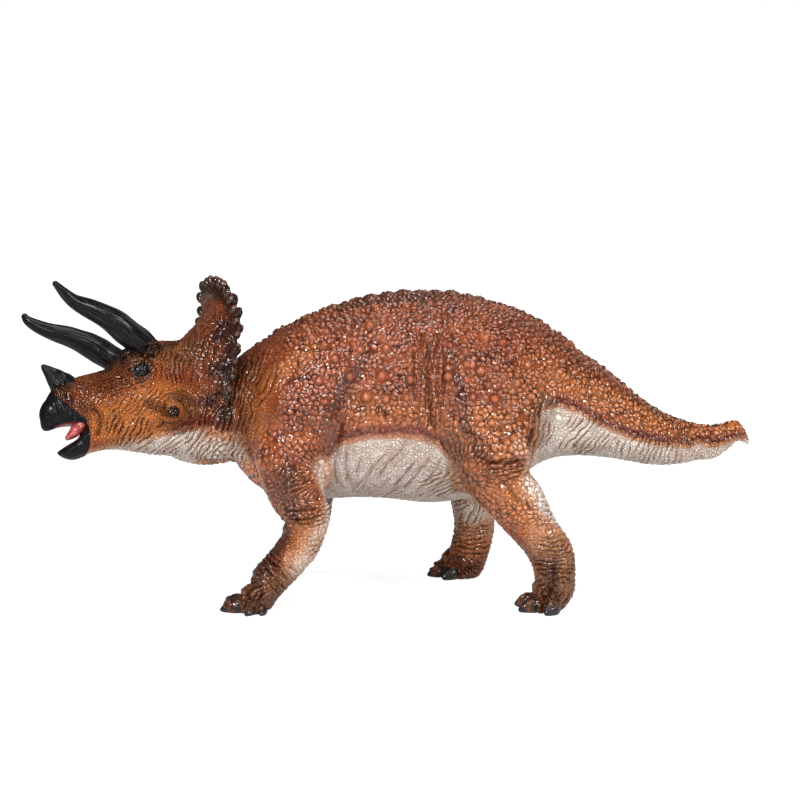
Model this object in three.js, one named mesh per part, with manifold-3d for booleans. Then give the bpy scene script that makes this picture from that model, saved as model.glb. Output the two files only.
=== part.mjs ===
// Horned dinosaur figure in hand-painted soft vinyl, moulded as thirteen pieces that are bonded at plugs
// and pockets. Millimetres. -X is ahead, -Y is the animal's left, +Z is up, and the soles are at z = 0.
import * as THREE from "three";
import { mergeVertices } from "three/addons/utils/BufferGeometryUtils.js";
import Module from "manifold-3d";

const wasm = await Module();
wasm.setup();

// Fits
const WALL = 3; // of the hollow torso, and round each pocket in it
const BOND_GAP = 0.3; // room for adhesive between two mouldings
const CUT_OVERRUN = 30; // depth of the block that cuts the soles flat
const WELD_DISTANCE = 0.0001; // corners closer than this are one corner

// Torso, two hollow half shells
const TORSO_LENGTH = 84;
const TORSO_HEIGHT = 52.5;
const TORSO_WIDTH = 47;
const BELLY_CLEARANCE = 23.1; // from the floor to the lowest point of the belly
const PIN_RADIUS = 1.6; // locating pins between the half shells
const PIN_LENGTH = 8;
const SCUTE_LENGTH = 5; // low plates along the back
const SCUTE_WIDTH = 6.6;
const SCUTE_HEIGHT = 1;

// Tail
const TAIL_LENGTH = 45.6;
const TAIL_DROP = 12.5; // from the middle of its root to the middle of its tip
const TAIL_SWEEP = 13; // sideways, to the animal's right
const TAIL_PLUG_RADIUS = 8;
const TAIL_PLUG_LENGTH = 9;

// Legs
const HALF_TRACK = 18.8; // from the middle of the body to the middle of a foot
const FORELEG_WIDTH = 19;
const FORELEG_DEPTH = 15;
const FOREARM_BEND = 7.8;
const FORELEG_STEP = 2.4; // each forefoot, ahead of or behind the middle of the pair
const HINDLEG_WIDTH = 22.5;
const HINDLEG_DEPTH = 18;
const HOCK_BEND = 7.5;
const HINDLEG_STEP = 10.4;
const FOOT_LENGTH = 12.6;
const FOOT_WIDTH = 11.4;
const FOOT_HEIGHT = 7.8;
const FOOT_TURN = 22; // degrees outward
const TOE_SPREAD = 34; // degrees between toes
const TOE_LENGTH = 8.6;
const TOE_WIDTH = 5;
const TOE_HEIGHT = 4.7;
const NAIL_LENGTH = 4.2;

// Head, one moulding with the frill and the neck
const HEAD_LENGTH = 47.5; // from the neck's pivot to the front of the beak
const HEAD_HEIGHT = 30;
const HEAD_WIDTH = 24;
const HEAD_TURN = 22; // degrees, to the animal's left
const HEAD_TILT = 18; // degrees, left side up
const NECK_PLUG_RADIUS = 6.5;
const NECK_PLUG_LENGTH = 8;
const FRILL_HALF_WIDTH = 19.2;
const FRILL_RISE = 21.2; // from the middle of the frill to its top
const FRILL_THICKNESS = 2.8;
const KNOB_LENGTH = 4.4; // knobs on the rim of the frill
const KNOB_WIDTH = 3;
const KNOB_COUNT = 17;
const EYE_RADIUS = 2.3;
const CHEEK_HORN_LENGTH = 6.6;
const CHEEK_HORN_RADIUS = 3.3;
const MOUTH_LENGTH = 15;
const MOUTH_WIDTH = 7.6;
const MOUTH_HEIGHT = 5.6;

// Lower jaw and tongue
const JAW_LENGTH = 27;
const JAW_WIDTH = 18;
const JAW_DEPTH = 6.8;
const TONGUE_LENGTH = 11;
const TONGUE_WIDTH = 4.8;
const TONGUE_THICKNESS = 2.4;
const TONGUE_LIFT = 7; // degrees, tip up

// Horns
const BROW_HORN_LENGTH = 24;
const BROW_HORN_RADIUS = 3.9;
const NOSE_HORN_LENGTH = 8.4;
const NOSE_HORN_RADIUS = 3.8;

// Rows of a few hand-set values, smoothed into as many rows as asked for.
function smoothRows(rows, count) {
  const last = rows.length - 1;
  const row = (k) => rows[THREE.MathUtils.clamp(k, 0, last)];
  return Array.from({ length: count }, (_, i) => {
    const place = (i / (count - 1)) * last;
    const k = Math.min(Math.floor(place), last - 1);
    const t = place - k;
    return row(k).map((b, c) => {
      const a = row(k - 1)[c];
      const d = row(k + 1)[c];
      const e = row(k + 2)[c];
      return b + 0.5 * t * (d - a + t * (2 * a - 5 * b + 4 * d - e + t * (3 * (b - d) + e - a)));
    });
  });
}

// A closed skin over rings that all have the same number of points, with a fan over each end.
function skinOver(rings) {
  const sides = rings[0].length;
  const middle = (ring) => ring.reduce((sum, p) => sum.add(p), new THREE.Vector3()).divideScalar(sides);
  const points = [...rings.flat(), middle(rings[0]), middle(rings.at(-1))];
  const start = points.length - 2;
  const end = points.length - 1;
  const lastRing = (rings.length - 1) * sides;
  const faces = [];
  for (let i = 0; i < sides; i++) {
    const j = (i + 1) % sides;
    faces.push(start, j, i, end, lastRing + i, lastRing + j);
    for (let r = 0; r < lastRing; r += sides) {
      faces.push(r + i, r + j, r + sides + j, r + i, r + sides + j, r + sides + i);
    }
  }
  return new THREE.BufferGeometry().setFromPoints(points).setIndex(faces);
}

// A ring across the X axis from its bottom to its top, wider below the middle as a pear is.
function pearRing({ x, y = 0, bottom, top, halfWidth, pearShare = 0 }, sides) {
  return Array.from({ length: sides }, (_, i) => {
    const a = (2 * Math.PI * i) / sides;
    const out = halfWidth * Math.sin(a) * (1 - pearShare * Math.cos(a));
    return new THREE.Vector3(x, y + out, (top + bottom) / 2 + ((top - bottom) / 2) * Math.cos(a));
  });
}

// A tube along stations of centre, radius fore and aft, and radius to the side, grown all over by grow.
function tubeAlong(stations, rings, sides, grow = 0) {
  const rows = stations.map(({ centre, fore, side }) => [centre.x, centre.y, centre.z, fore, side]);
  const smooth = smoothRows(rows, rings);
  const centres = smooth.map(([x, y, z]) => new THREE.Vector3(x, y, z));
  const last = centres.length - 1;
  const sideways = new THREE.Vector3(0, 1, 0);
  const loops = smooth.map(([, , , fore, side], i) => {
    const along = centres[Math.min(i + 1, last)].clone().sub(centres[Math.max(i - 1, 0)]).normalize();
    const out = sideways.clone().addScaledVector(along, -sideways.dot(along)).normalize();
    const up = along.clone().cross(out);
    const overrun = i === 0 ? -grow : i === last ? grow : 0;
    const centre = centres[i].clone().addScaledVector(along, overrun);
    return Array.from({ length: sides }, (_, k) => {
      const a = (2 * Math.PI * k) / sides;
      const point = centre.clone().addScaledVector(up, (fore + grow) * Math.cos(a));
      return point.addScaledVector(out, (side + grow) * Math.sin(a));
    });
  });
  return skinOver(loops);
}

// An ellipsoid of full sizes along X, Y and Z, turned about Z and set at a centre.
function lump(centre, length, width, height, turn = 0, across = 8, high = 6) {
  const shape = new THREE.SphereGeometry(0.5, across, high).rotateX(Math.PI / 2);
  return shape.scale(length, width, height).rotateZ(turn).translate(centre.x, centre.y, centre.z);
}

// A geometry as a solid that can be joined and cut, turned outward where it was inside out.
function solid(geometry) {
  const bare = geometry.clone();
  bare.deleteAttribute("normal");
  bare.deleteAttribute("uv");
  const merged = mergeVertices(bare, WELD_DISTANCE);
  const vertProperties = new Float32Array(merged.attributes.position.array);
  const triVerts = new Uint32Array(merged.index.array);
  const made = new wasm.Manifold(new wasm.Mesh({ numProp: 3, vertProperties, triVerts }));
  if (made.volume() > 0) return made;
  return new wasm.Manifold(new wasm.Mesh({ numProp: 3, vertProperties, triVerts: triVerts.reverse() }));
}

const join = (solids) => solids.reduce((a, b) => a.add(b));

function geometryOf(made) {
  const mesh = made.getMesh();
  const geometry = new THREE.BufferGeometry();
  geometry.setAttribute("position", new THREE.BufferAttribute(mesh.vertProperties, mesh.numProp));
  geometry.setIndex(new THREE.BufferAttribute(mesh.triVerts, 1));
  geometry.computeVertexNormals();
  return geometry;
}

// Torso rows: share of the length from the neck, shares of the height at belly and back, share of half width.
const TORSO_SHARES = [
  [0, 0.175, 0.7, 0.555],
  [0.06, 0.08, 0.752, 0.715],
  [0.143, 0.017, 0.844, 0.835],
  [0.262, 0.02, 0.928, 0.92],
  [0.405, 0.035, 0.985, 0.98],
  [0.548, 0, 1, 1],
  [0.667, 0.02, 0.983, 0.98],
  [0.786, 0.08, 0.931, 0.885],
  [0.881, 0.175, 0.862, 0.73],
  [0.952, 0.219, 0.78, 0.61],
  [1, 0.229, 0.722, 0.545],
];
const AHEAD_SHARE = 0.43; // of the torso's length that lies ahead of the origin
const PEAR_SHARE = 0.1;
const torsoX = (share) => (share - AHEAD_SHARE) * TORSO_LENGTH;
const torsoZ = (share) => BELLY_CLEARANCE + share * TORSO_HEIGHT;
const TORSO_FRONT = torsoX(0);
const TORSO_REAR = torsoX(1);

function torsoSkin(grow, rings = 15, sides = 18) {
  const rows = smoothRows(TORSO_SHARES, rings);
  const loops = rows.map(([along, belly, back, out], i) => {
    const overrun = i === 0 ? -grow : i === rings - 1 ? grow : 0;
    const bottom = torsoZ(belly) - grow;
    const top = torsoZ(back) + grow;
    const halfWidth = (out * TORSO_WIDTH) / 2 + grow;
    return pearRing({ x: torsoX(along) + overrun, bottom, top, halfWidth, pearShare: PEAR_SHARE }, sides);
  });
  return skinOver(loops);
}

// Where each leg leaves the torso, in shares of the torso's length, half width and height.
const ROOT_OUT_SHARE = 0.53;
const FORE_ROOT = { alongShare: 0.186, upShare: 0.43 };
const HIND_ROOT = { alongShare: 0.728, upShare: 0.49 };
const rootOf = ({ alongShare, upShare }, side) =>
  new THREE.Vector3(torsoX(alongShare), (side * ROOT_OUT_SHARE * TORSO_WIDTH) / 2, torsoZ(upShare));

// Bulges of the shoulder blades and hips on the torso, seen above each leg.
const BULGE_LENGTH_SHARE = 1.12; // of the leg's width
const BULGE_WIDTH_SHARE = 0.34; // of the torso's width
const BULGE_HEIGHT_SHARE = 0.5; // of the torso's height
const BULGE_OUT_SHARE = 1.14; // of the root's distance from the middle
const BULGE_UP_SHARE = 0.06; // of the torso's height, above the root
function limbBulge(root, legWidth, grow) {
  const centre = new THREE.Vector3(root.x, root.y * BULGE_OUT_SHARE, root.z + TORSO_HEIGHT * BULGE_UP_SHARE);
  const length = legWidth * BULGE_LENGTH_SHARE + 2 * grow;
  const width = TORSO_WIDTH * BULGE_WIDTH_SHARE + 2 * grow;
  const height = TORSO_HEIGHT * BULGE_HEIGHT_SHARE + 2 * grow;
  return lump(centre, length, width, height, 0, 12, 8);
}

function torsoMass(grow = 0) {
  const bulges = [-1, 1].flatMap((side) => [
    solid(limbBulge(rootOf(FORE_ROOT, side), FORELEG_WIDTH, grow)),
    solid(limbBulge(rootOf(HIND_ROOT, side), HINDLEG_WIDTH, grow)),
  ]);
  return join([solid(torsoSkin(grow)), ...bulges]);
}

// Leg rows: share of the drop from root to sole, shares of the bend, of the step and of the way out to the
// track, then shares of half the leg's width and depth.
const FORELEG_SHARES = [
  [0, 0, 0, 0, 0.84, 0.8],
  [0.085, 0.1, 0, 0.385, 0.97, 0.96],
  [0.19, 0.16, 0.05, 0.585, 0.95, 0.97],
  [0.3, 0.16, 0.1, 0.72, 0.82, 0.93],
  [0.404, 0, 0.1, 0.85, 0.685, 0.84],
  [0.532, -0.26, 0.1, 0.94, 0.58, 0.76],
  [0.67, -0.02, 0.4, 1, 0.525, 0.67],
  [0.787, 0.45, 0.8, 1, 0.475, 0.64],
  [0.872, 0.73, 1, 1, 0.51, 0.7],
  [0.92, 0.9, 1, 1, 0.5, 0.7],
];
const HINDLEG_SHARES = [
  [0, 0, 0, 0, 0.93, 0.78],
  [0.1, -0.05, 0.06, 0.4, 1.03, 1],
  [0.24, 0.08, 0.18, 0.66, 0.88, 0.955],
  [0.36, -0.03, 0.33, 0.76, 0.75, 0.845],
  [0.5, -0.37, 0.55, 0.88, 0.565, 0.71],
  [0.65, -0.86, 0.78, 0.95, 0.495, 0.61],
  [0.76, -1, 0.88, 1, 0.455, 0.58],
  [0.86, -0.94, 0.96, 1, 0.45, 0.6],
  [0.92, -0.86, 1, 1, 0.45, 0.6],
];
const LEG_RINGS = 12;
const LEG_SIDES = 12;
const TOE_PLACES = [-1, 0, 1]; // in spreads, from the inner toe to the outer one

// A leg of one side, about its root: its upper end is the plug that the torso's pocket holds.
function legStations({ root, shares, width, depth, bend, step }) {
  const track = Math.sign(root.y) * HALF_TRACK;
  return shares.map(([down, bent, stepped, out, fore, side]) => ({
    centre: new THREE.Vector3(-bent * bend + stepped * step, out * (track - root.y), -down * root.z),
    fore: (fore * width) / 2,
    side: (side * depth) / 2,
  }));
}

// The foot's pad, toes and nails, turned outward. The sole's cut takes the lower part of each.
const PAD_AHEAD_SHARE = 0.08; // of the foot's length, ahead of the ankle
const PAD_UP_SHARE = 0.4; // of the foot's height
const PAD_HEIGHT_SHARE = 1.2;
const KNUCKLE_SHARE = 0.34; // of the foot's length, from the middle of the pad to that of a toe
const TOE_UP_SHARE = 0.4; // of the toe's height
const NAIL_AHEAD_SHARE = 0.34; // of the toe's length, ahead of the middle of the toe
const NAIL_UP_SHARE = 0.22;
const NAIL_WIDTH_SHARE = 0.78;
const NAIL_HEIGHT_SHARE = 0.62;

function foot(ankle, floor, side) {
  const pad = ankle.clone();
  pad.x -= FOOT_LENGTH * PAD_AHEAD_SHARE;
  pad.z = floor + FOOT_HEIGHT * PAD_UP_SHARE;
  const along = (degrees, aheadShare, upShare) => {
    const turn = THREE.MathUtils.degToRad(degrees);
    const ahead = new THREE.Vector3(-Math.cos(turn), side * Math.sin(turn), 0);
    const point = pad.clone().addScaledVector(ahead, FOOT_LENGTH * KNUCKLE_SHARE + TOE_LENGTH * aheadShare);
    point.z = floor + TOE_HEIGHT * upShare;
    return point;
  };
  const toes = TOE_PLACES.flatMap((place) => {
    const degrees = FOOT_TURN + place * TOE_SPREAD;
    const turn = -side * THREE.MathUtils.degToRad(degrees);
    const nailWidth = TOE_WIDTH * NAIL_WIDTH_SHARE;
    const nailHeight = TOE_HEIGHT * NAIL_HEIGHT_SHARE;
    return [
      lump(along(degrees, 0, TOE_UP_SHARE), TOE_LENGTH, TOE_WIDTH, TOE_HEIGHT, turn),
      lump(along(degrees, NAIL_AHEAD_SHARE, NAIL_UP_SHARE), NAIL_LENGTH, nailWidth, nailHeight, turn),
    ];
  });
  const turn = -side * THREE.MathUtils.degToRad(FOOT_TURN);
  const sole = lump(pad, FOOT_LENGTH, FOOT_WIDTH, FOOT_HEIGHT * PAD_HEIGHT_SHARE, turn);
  return join([sole, ...toes].map(solid));
}

function floorBlock(floor) {
  const block = new THREE.BoxGeometry(TORSO_LENGTH * 2, TORSO_LENGTH * 2, CUT_OVERRUN);
  return solid(block.translate(0, 0, floor - CUT_OVERRUN / 2));
}

const forelegOf = (side) => ({
  root: rootOf(FORE_ROOT, side),
  shares: FORELEG_SHARES,
  width: FORELEG_WIDTH,
  depth: FORELEG_DEPTH,
  bend: FOREARM_BEND,
  step: side * FORELEG_STEP,
});
const hindlegOf = (side) => ({
  root: rootOf(HIND_ROOT, side),
  shares: HINDLEG_SHARES,
  width: HINDLEG_WIDTH,
  depth: HINDLEG_DEPTH,
  bend: HOCK_BEND,
  step: -side * HINDLEG_STEP,
});
const LEGS = [forelegOf(-1), forelegOf(1), hindlegOf(-1), hindlegOf(1)];

function leg(limb) {
  const stations = legStations(limb);
  const floor = -limb.root.z;
  const tube = solid(tubeAlong(stations, LEG_RINGS, LEG_SIDES));
  const whole = tube.add(foot(stations.at(-1).centre, floor, Math.sign(limb.root.y)));
  return whole.subtract(floorBlock(floor));
}

function legTubeInPlace(limb, grow) {
  const { x, y, z } = limb.root;
  return solid(tubeAlong(legStations(limb), LEG_RINGS, LEG_SIDES, grow).translate(x, y, z));
}

// The head's own frame: its pivot is in the neck, and shares run ahead, to its left, and up.
const headPivot = new THREE.Vector3(torsoX(-0.036), 0, torsoZ(0.486));
const headTurn = new THREE.Euler(
  -THREE.MathUtils.degToRad(HEAD_TILT),
  0,
  THREE.MathUtils.degToRad(HEAD_TURN),
  "ZYX",
);
const headToBody = new THREE.Matrix4().makeRotationFromEuler(headTurn).setPosition(headPivot);
const bodyToHead = headToBody.clone().invert();
const inHead = (ahead, left, up) =>
  new THREE.Vector3(-ahead * HEAD_LENGTH, (-left * HEAD_WIDTH) / 2, up * HEAD_HEIGHT);

// Skull and neck rows: share of the length ahead, shares of the height at chin and crown, and of half width.
const SKULL_SHARES = [
  [0.995, -0.15, 0.02, 0.07],
  [0.968, -0.178, 0.08, 0.16],
  [0.93, -0.143, 0.143, 0.24],
  [0.88, -0.14, 0.205, 0.31],
  [0.8, -0.16, 0.265, 0.42],
  [0.716, -0.19, 0.293, 0.55],
  [0.632, -0.263, 0.323, 0.67],
  [0.526, -0.283, 0.433, 0.82],
  [0.421, -0.317, 0.513, 0.94],
  [0.316, -0.43, 0.52, 1],
  [0.21, -0.5, 0.45, 0.96],
  [0.105, -0.525, 0.36, 0.92],
  [0, -0.51, 0.32, 0.98],
  [-0.084, -0.515, 0.35, 1.04],
  [-0.18, -0.5, 0.3, 1],
];
const SKULL_PEAR_SHARE = 0.12;

function skull(grow = 0) {
  const rows = smoothRows(SKULL_SHARES, 22);
  const loops = rows.map(([ahead, chin, crown, out], i) => {
    const overrun = i === 0 ? -grow : i === rows.length - 1 ? grow : 0;
    const bottom = inHead(0, 0, chin).z - grow;
    const top = inHead(0, 0, crown).z + grow;
    const halfWidth = (out * HEAD_WIDTH) / 2 + grow;
    const x = inHead(ahead, 0, 0).x + overrun;
    return pearRing({ x, bottom, top, halfWidth, pearShare: SKULL_PEAR_SHARE }, 14);
  });
  return skinOver(loops);
}

// The frill stands round the back of the skull, open below, and is a little hollow in front.
const FRILL_MIDDLE = inHead(0.012, 0, 0.333);
const FRILL_ROOT = inHead(0.24, 0, 0.2);
const FRILL_ROOT_SHARE = 0.4; // of its own width and rise, round the skull
const FRILL_HALF_ANGLE = 122; // degrees each way from the top
const FRILL_SWEEP_SHARE = 0.43; // of its thickness, by which its lower ends come ahead
const FRILL_SECTION_SHARES = [
  [0, 0.9],
  [0.35, 0.1],
  [0.7, 0.05],
  [0.93, 0.42],
  [1, 0],
  [0.93, -0.5],
  [0.6, -0.85],
  [0, -1.2],
];

function frillRim(angle) {
  const sweep = FRILL_THICKNESS * FRILL_SWEEP_SHARE * (1 - Math.cos(angle)) ** 3;
  const out = FRILL_HALF_WIDTH * Math.sin(angle);
  return FRILL_MIDDLE.clone().add(new THREE.Vector3(-sweep, out, FRILL_RISE * Math.cos(angle)));
}

function frillRoot(angle) {
  const out = FRILL_HALF_WIDTH * FRILL_ROOT_SHARE * Math.sin(angle);
  return FRILL_ROOT.clone().add(new THREE.Vector3(0, out, FRILL_RISE * FRILL_ROOT_SHARE * Math.cos(angle)));
}

function frill() {
  const steps = 24;
  const loops = Array.from({ length: steps + 1 }, (_, i) => {
    const angle = THREE.MathUtils.degToRad(FRILL_HALF_ANGLE * ((2 * i) / steps - 1));
    const root = frillRoot(angle);
    const rim = frillRim(angle);
    return FRILL_SECTION_SHARES.map(([outShare, aheadShare]) => {
      const point = root.clone().lerp(rim, outShare);
      point.x -= aheadShare * FRILL_THICKNESS;
      return point;
    });
  });
  return skinOver(loops);
}

function frillKnobs() {
  return Array.from({ length: KNOB_COUNT }, (_, i) => {
    const angle = THREE.MathUtils.degToRad(FRILL_HALF_ANGLE * ((2 * i) / (KNOB_COUNT - 1) - 1));
    const knob = new THREE.SphereGeometry(0.5, 6, 4).scale(KNOB_WIDTH, KNOB_WIDTH, KNOB_LENGTH);
    const rim = frillRim(angle);
    return solid(knob.rotateX(-angle).translate(rim.x, rim.y, rim.z));
  });
}

// A round tapered tube: rings across one direction, for the horns.
function roundTube(rows, direction) {
  const along = direction.clone().normalize();
  const turn = new THREE.Quaternion().setFromUnitVectors(new THREE.Vector3(0, 0, 1), along);
  const sides = 10;
  const loops = rows.map(({ centre, radius }) =>
    Array.from({ length: sides }, (_, k) => {
      const a = (2 * Math.PI * k) / sides;
      const spoke = new THREE.Vector3(Math.cos(a), Math.sin(a), 0).multiplyScalar(radius);
      return spoke.applyQuaternion(turn).add(centre);
    }),
  );
  return skinOver(loops);
}

// Cheek horn rows: share of its length and share of its radius.
const CHEEK_HORN_SHARES = [
  [0, 1],
  [0.5, 0.78],
  [0.85, 0.42],
  [1, 0.12],
];
const CHEEK_HORN_AIM = { ahead: 0.2, out: 0.93, down: 0.31 };

function cheekHorn(side) {
  const { ahead, out, down } = CHEEK_HORN_AIM;
  const base = inHead(0.36, side * 0.78, -0.09);
  const reach = new THREE.Vector3(-ahead, -side * out, -down).multiplyScalar(CHEEK_HORN_LENGTH);
  const rows = CHEEK_HORN_SHARES.map(([share, radiusShare]) => ({
    centre: base.clone().addScaledVector(reach, share),
    radius: CHEEK_HORN_RADIUS * radiusShare,
  }));
  return roundTube(rows, reach);
}

// Brow horn rows: shares of its length ahead, outward and up, and share of its radius.
const BROW_HORN_SHARES = [
  [-0.16, -0.08, -0.16, 1],
  [0, 0, 0, 1],
  [0.17, 0.08, 0.17, 0.88],
  [0.38, 0.155, 0.33, 0.7],
  [0.61, 0.22, 0.45, 0.47],
  [0.77, 0.265, 0.54, 0.29],
  [0.87, 0.29, 0.61, 0.1],
];

function browHorn(side, grow = 0) {
  const base = inHead(0.53, side * 0.75, 0.43);
  const rows = BROW_HORN_SHARES.map(([ahead, out, up, radiusShare]) => {
    const offset = new THREE.Vector3(-ahead, -side * out, up).multiplyScalar(BROW_HORN_LENGTH);
    return { centre: base.clone().add(offset), radius: BROW_HORN_RADIUS * radiusShare + grow };
  });
  const direction = rows.at(-1).centre.clone().sub(base);
  if (grow > 0) rows[0].centre.addScaledVector(direction.clone().normalize(), -grow);
  return roundTube(rows, direction);
}

// Nose horn rows: shares of its length ahead and up, and share of its radius.
const NOSE_HORN_SHARES = [
  [0, -0.3, 1],
  [0.04, 0, 1],
  [0.16, 0.25, 0.74],
  [0.36, 0.47, 0.42],
  [0.56, 0.63, 0.14],
];

function noseHorn(grow = 0) {
  const base = inHead(0.865, 0, 0.2);
  const rows = NOSE_HORN_SHARES.map(([ahead, up, radiusShare]) => ({
    centre: base.clone().add(new THREE.Vector3(-ahead, 0, up).multiplyScalar(NOSE_HORN_LENGTH)),
    radius: NOSE_HORN_RADIUS * radiusShare + grow,
  }));
  const direction = rows.at(-1).centre.clone().sub(base);
  if (grow > 0) rows[0].centre.addScaledVector(direction.clone().normalize(), -grow);
  return roundTube(rows, direction);
}

// The neck's plug runs from inside the neck into the torso.
const NECK_PLUG_START = inHead(0.12, 0, 0.06);
const NECK_PLUG_SHARE = 0.19; // of the head's length, that lies in the neck
const NECK_PLUG_REACH = HEAD_LENGTH * NECK_PLUG_SHARE + NECK_PLUG_LENGTH;
function neckPlug(grow = 0) {
  const radius = NECK_PLUG_RADIUS + grow;
  const length = NECK_PLUG_REACH + grow;
  const plug = new THREE.CylinderGeometry(radius, radius, length, 16).rotateZ(Math.PI / 2);
  return plug.translate(NECK_PLUG_START.x + length / 2, NECK_PLUG_START.y, NECK_PLUG_START.z);
}

const mouth = (grow = 0) =>
  lump(inHead(0.8, 0, -0.19), MOUTH_LENGTH + 2 * grow, MOUTH_WIDTH + 2 * grow, MOUTH_HEIGHT + 2 * grow);

// Places in the head's frame, as shares ahead, outward and up, and sizes as shares of the head's own.
const EYE_SHARES = [0.5, 0.72, 0.247];
const BROW_SHARES = [0.49, 0.7, 0.4];
const BROW_SIZE_SHARES = [0.25, 0.37, 0.34];

function head() {
  const sides = [-1, 1];
  const place = ([ahead, out, up], side) => inHead(ahead, side * out, up);
  const [browLength, browWidth, browHeight] = BROW_SIZE_SHARES;
  const brows = sides.map((side) => {
    const middle = place(BROW_SHARES, side);
    return lump(middle, HEAD_LENGTH * browLength, HEAD_WIDTH * browWidth, HEAD_HEIGHT * browHeight);
  });
  const eyes = sides.map((side) => lump(place(EYE_SHARES, side), ...Array(3).fill(2 * EYE_RADIUS)));
  const flesh = [skull(), frill(), ...brows, ...eyes, ...sides.map((side) => cheekHorn(side))].map(solid);
  const pockets = [browHorn(-1, BOND_GAP), browHorn(1, BOND_GAP), noseHorn(BOND_GAP), mouth()].map(solid);
  const body = solid(torsoSkin(BOND_GAP).applyMatrix4(bodyToHead));
  const whole = join([...flesh, ...frillKnobs()]).subtract(join(pockets)).subtract(body);
  return largest(whole.add(solid(neckPlug())));
}

// The one piece of a cut solid that has the most volume.
function largest(made) {
  return made.decompose().reduce((a, b) => (a.volume() > b.volume() ? a : b));
}

// Jaw rows: share of its length from its rear end, shares of its depth at chin and gum, and of half width.
const JAW_SHARES = [
  [0, -1.1, 0.4, 0.85],
  [0.25, -0.92, 0.45, 0.9],
  [0.5, -0.78, 0.5, 0.78],
  [0.67, -0.85, 0.45, 0.62],
  [0.76, -0.96, 0.1, 0.52],
  [0.81, -1.04, -0.2, 0.45],
  [0.87, -1.04, -0.5, 0.38],
  [0.94, -0.95, -0.66, 0.24],
  [1, -0.79, -0.74, 0.06],
];

function lowerJaw() {
  const hinge = inHead(0.36, 0, -0.17);
  const rows = smoothRows(JAW_SHARES, 14);
  const loops = rows.map(([ahead, chin, gum, out]) =>
    pearRing(
      {
        x: hinge.x - ahead * JAW_LENGTH,
        bottom: hinge.z + chin * JAW_DEPTH,
        top: hinge.z + gum * JAW_DEPTH,
        halfWidth: (out * JAW_WIDTH) / 2,
      },
      12,
    ),
  );
  return largest(solid(skinOver(loops)).subtract(solid(skull(BOND_GAP))).subtract(solid(mouth())));
}

// The tongue lies in the floor of the mouth, its tip lifted.
function tongue() {
  const middle = inHead(0.79, 0, -0.222);
  const flat = lump(new THREE.Vector3(), TONGUE_LENGTH, TONGUE_WIDTH, TONGUE_THICKNESS);
  const lifted = flat.rotateY(-THREE.MathUtils.degToRad(TONGUE_LIFT));
  return solid(lifted.translate(middle.x, middle.y, middle.z)).intersect(solid(mouth(-BOND_GAP)));
}

// Tail rows: share of the length behind the torso, shares of the drop and sweep of its middle, and shares of
// the torso's rear section for half its height and half its width.
const TAIL_SHARES = [
  [0, 0, 0, 1, 1],
  [0.1, 0.09, 0.02, 0.92, 0.88],
  [0.27, 0.37, 0.08, 0.73, 0.7],
  [0.45, 0.69, 0.2, 0.56, 0.55],
  [0.63, 0.82, 0.38, 0.43, 0.41],
  [0.77, 0.8, 0.56, 0.34, 0.31],
  [0.88, 0.68, 0.75, 0.25, 0.22],
  [0.95, 0.66, 0.9, 0.16, 0.14],
  [1, 0.96, 1, 0.05, 0.05],
];

function tailSkin() {
  const [, belly, back, out] = TORSO_SHARES.at(-1);
  const middle = (torsoZ(belly) + torsoZ(back)) / 2;
  const halfHeight = (torsoZ(back) - torsoZ(belly)) / 2;
  const halfWidth = (out * TORSO_WIDTH) / 2;
  const loops = smoothRows(TAIL_SHARES, 17).map(([along, drop, sweep, high, wide]) => {
    const z = middle - drop * TAIL_DROP;
    return pearRing(
      {
        x: TORSO_REAR + BOND_GAP + along * TAIL_LENGTH,
        y: sweep * TAIL_SWEEP,
        bottom: z - high * halfHeight,
        top: z + high * halfHeight,
        halfWidth: wide * halfWidth,
        pearShare: PEAR_SHARE,
      },
      12,
    );
  });
  return skinOver(loops);
}

const TAIL_PLUG_SHARE = 0.08; // of the tail's length, that lies in the tail
function tailPlug(grow = 0) {
  const [, belly, back] = TORSO_SHARES.at(-1);
  const inTail = TAIL_LENGTH * TAIL_PLUG_SHARE;
  const radius = TAIL_PLUG_RADIUS + grow;
  const length = TAIL_PLUG_LENGTH + inTail + grow;
  const plug = new THREE.CylinderGeometry(radius, radius, length, 16).rotateZ(Math.PI / 2);
  return plug.translate(TORSO_REAR + BOND_GAP + inTail - length / 2, 0, torsoZ((belly + back) / 2));
}

const tail = () => solid(tailSkin()).add(solid(tailPlug()));

// Low overlapping plates along the top of the back, shared by the two half shells.
const SCUTED_SHARE = 0.9; // of the torso's length
const SCUTE_OVERLAP_SHARE = 1.1; // of the length of a plate, to the next one
function backScutes() {
  const count = Math.floor((TORSO_LENGTH * SCUTED_SHARE) / SCUTE_LENGTH);
  const rows = smoothRows(TORSO_SHARES, count + 2).slice(3, -1);
  return rows.map(([along, , back]) => {
    const centre = new THREE.Vector3(torsoX(along), 0, torsoZ(back));
    return solid(lump(centre, SCUTE_LENGTH * SCUTE_OVERLAP_SHARE, SCUTE_WIDTH, SCUTE_HEIGHT * 2, 0, 8, 4));
  });
}

// The locating pins stand against the wall of the back or the belly, each at one of the torso's rows.
const PIN_PLACES = [
  { row: 3, atBack: true },
  { row: 5, atBack: true },
  { row: 7, atBack: true },
  { row: 4, atBack: false },
];

function pinsOf(radius, halfLength) {
  const fromSkin = WALL + PIN_RADIUS;
  const pins = PIN_PLACES.map(({ row, atBack }) => {
    const [along, belly, back] = TORSO_SHARES[row];
    const z = atBack ? torsoZ(back) - fromSkin : torsoZ(belly) + fromSkin;
    const pin = new THREE.CylinderGeometry(radius, radius, halfLength * 2, 12);
    return solid(pin.translate(torsoX(along), 0, z));
  });
  return join(pins);
}

const plugsInTorso = (grow) => {
  const neck = solid(neckPlug(grow).applyMatrix4(headToBody));
  return join([...LEGS.map((limb) => legTubeInPlace(limb, grow)), neck, solid(tailPlug(grow))]);
};

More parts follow.
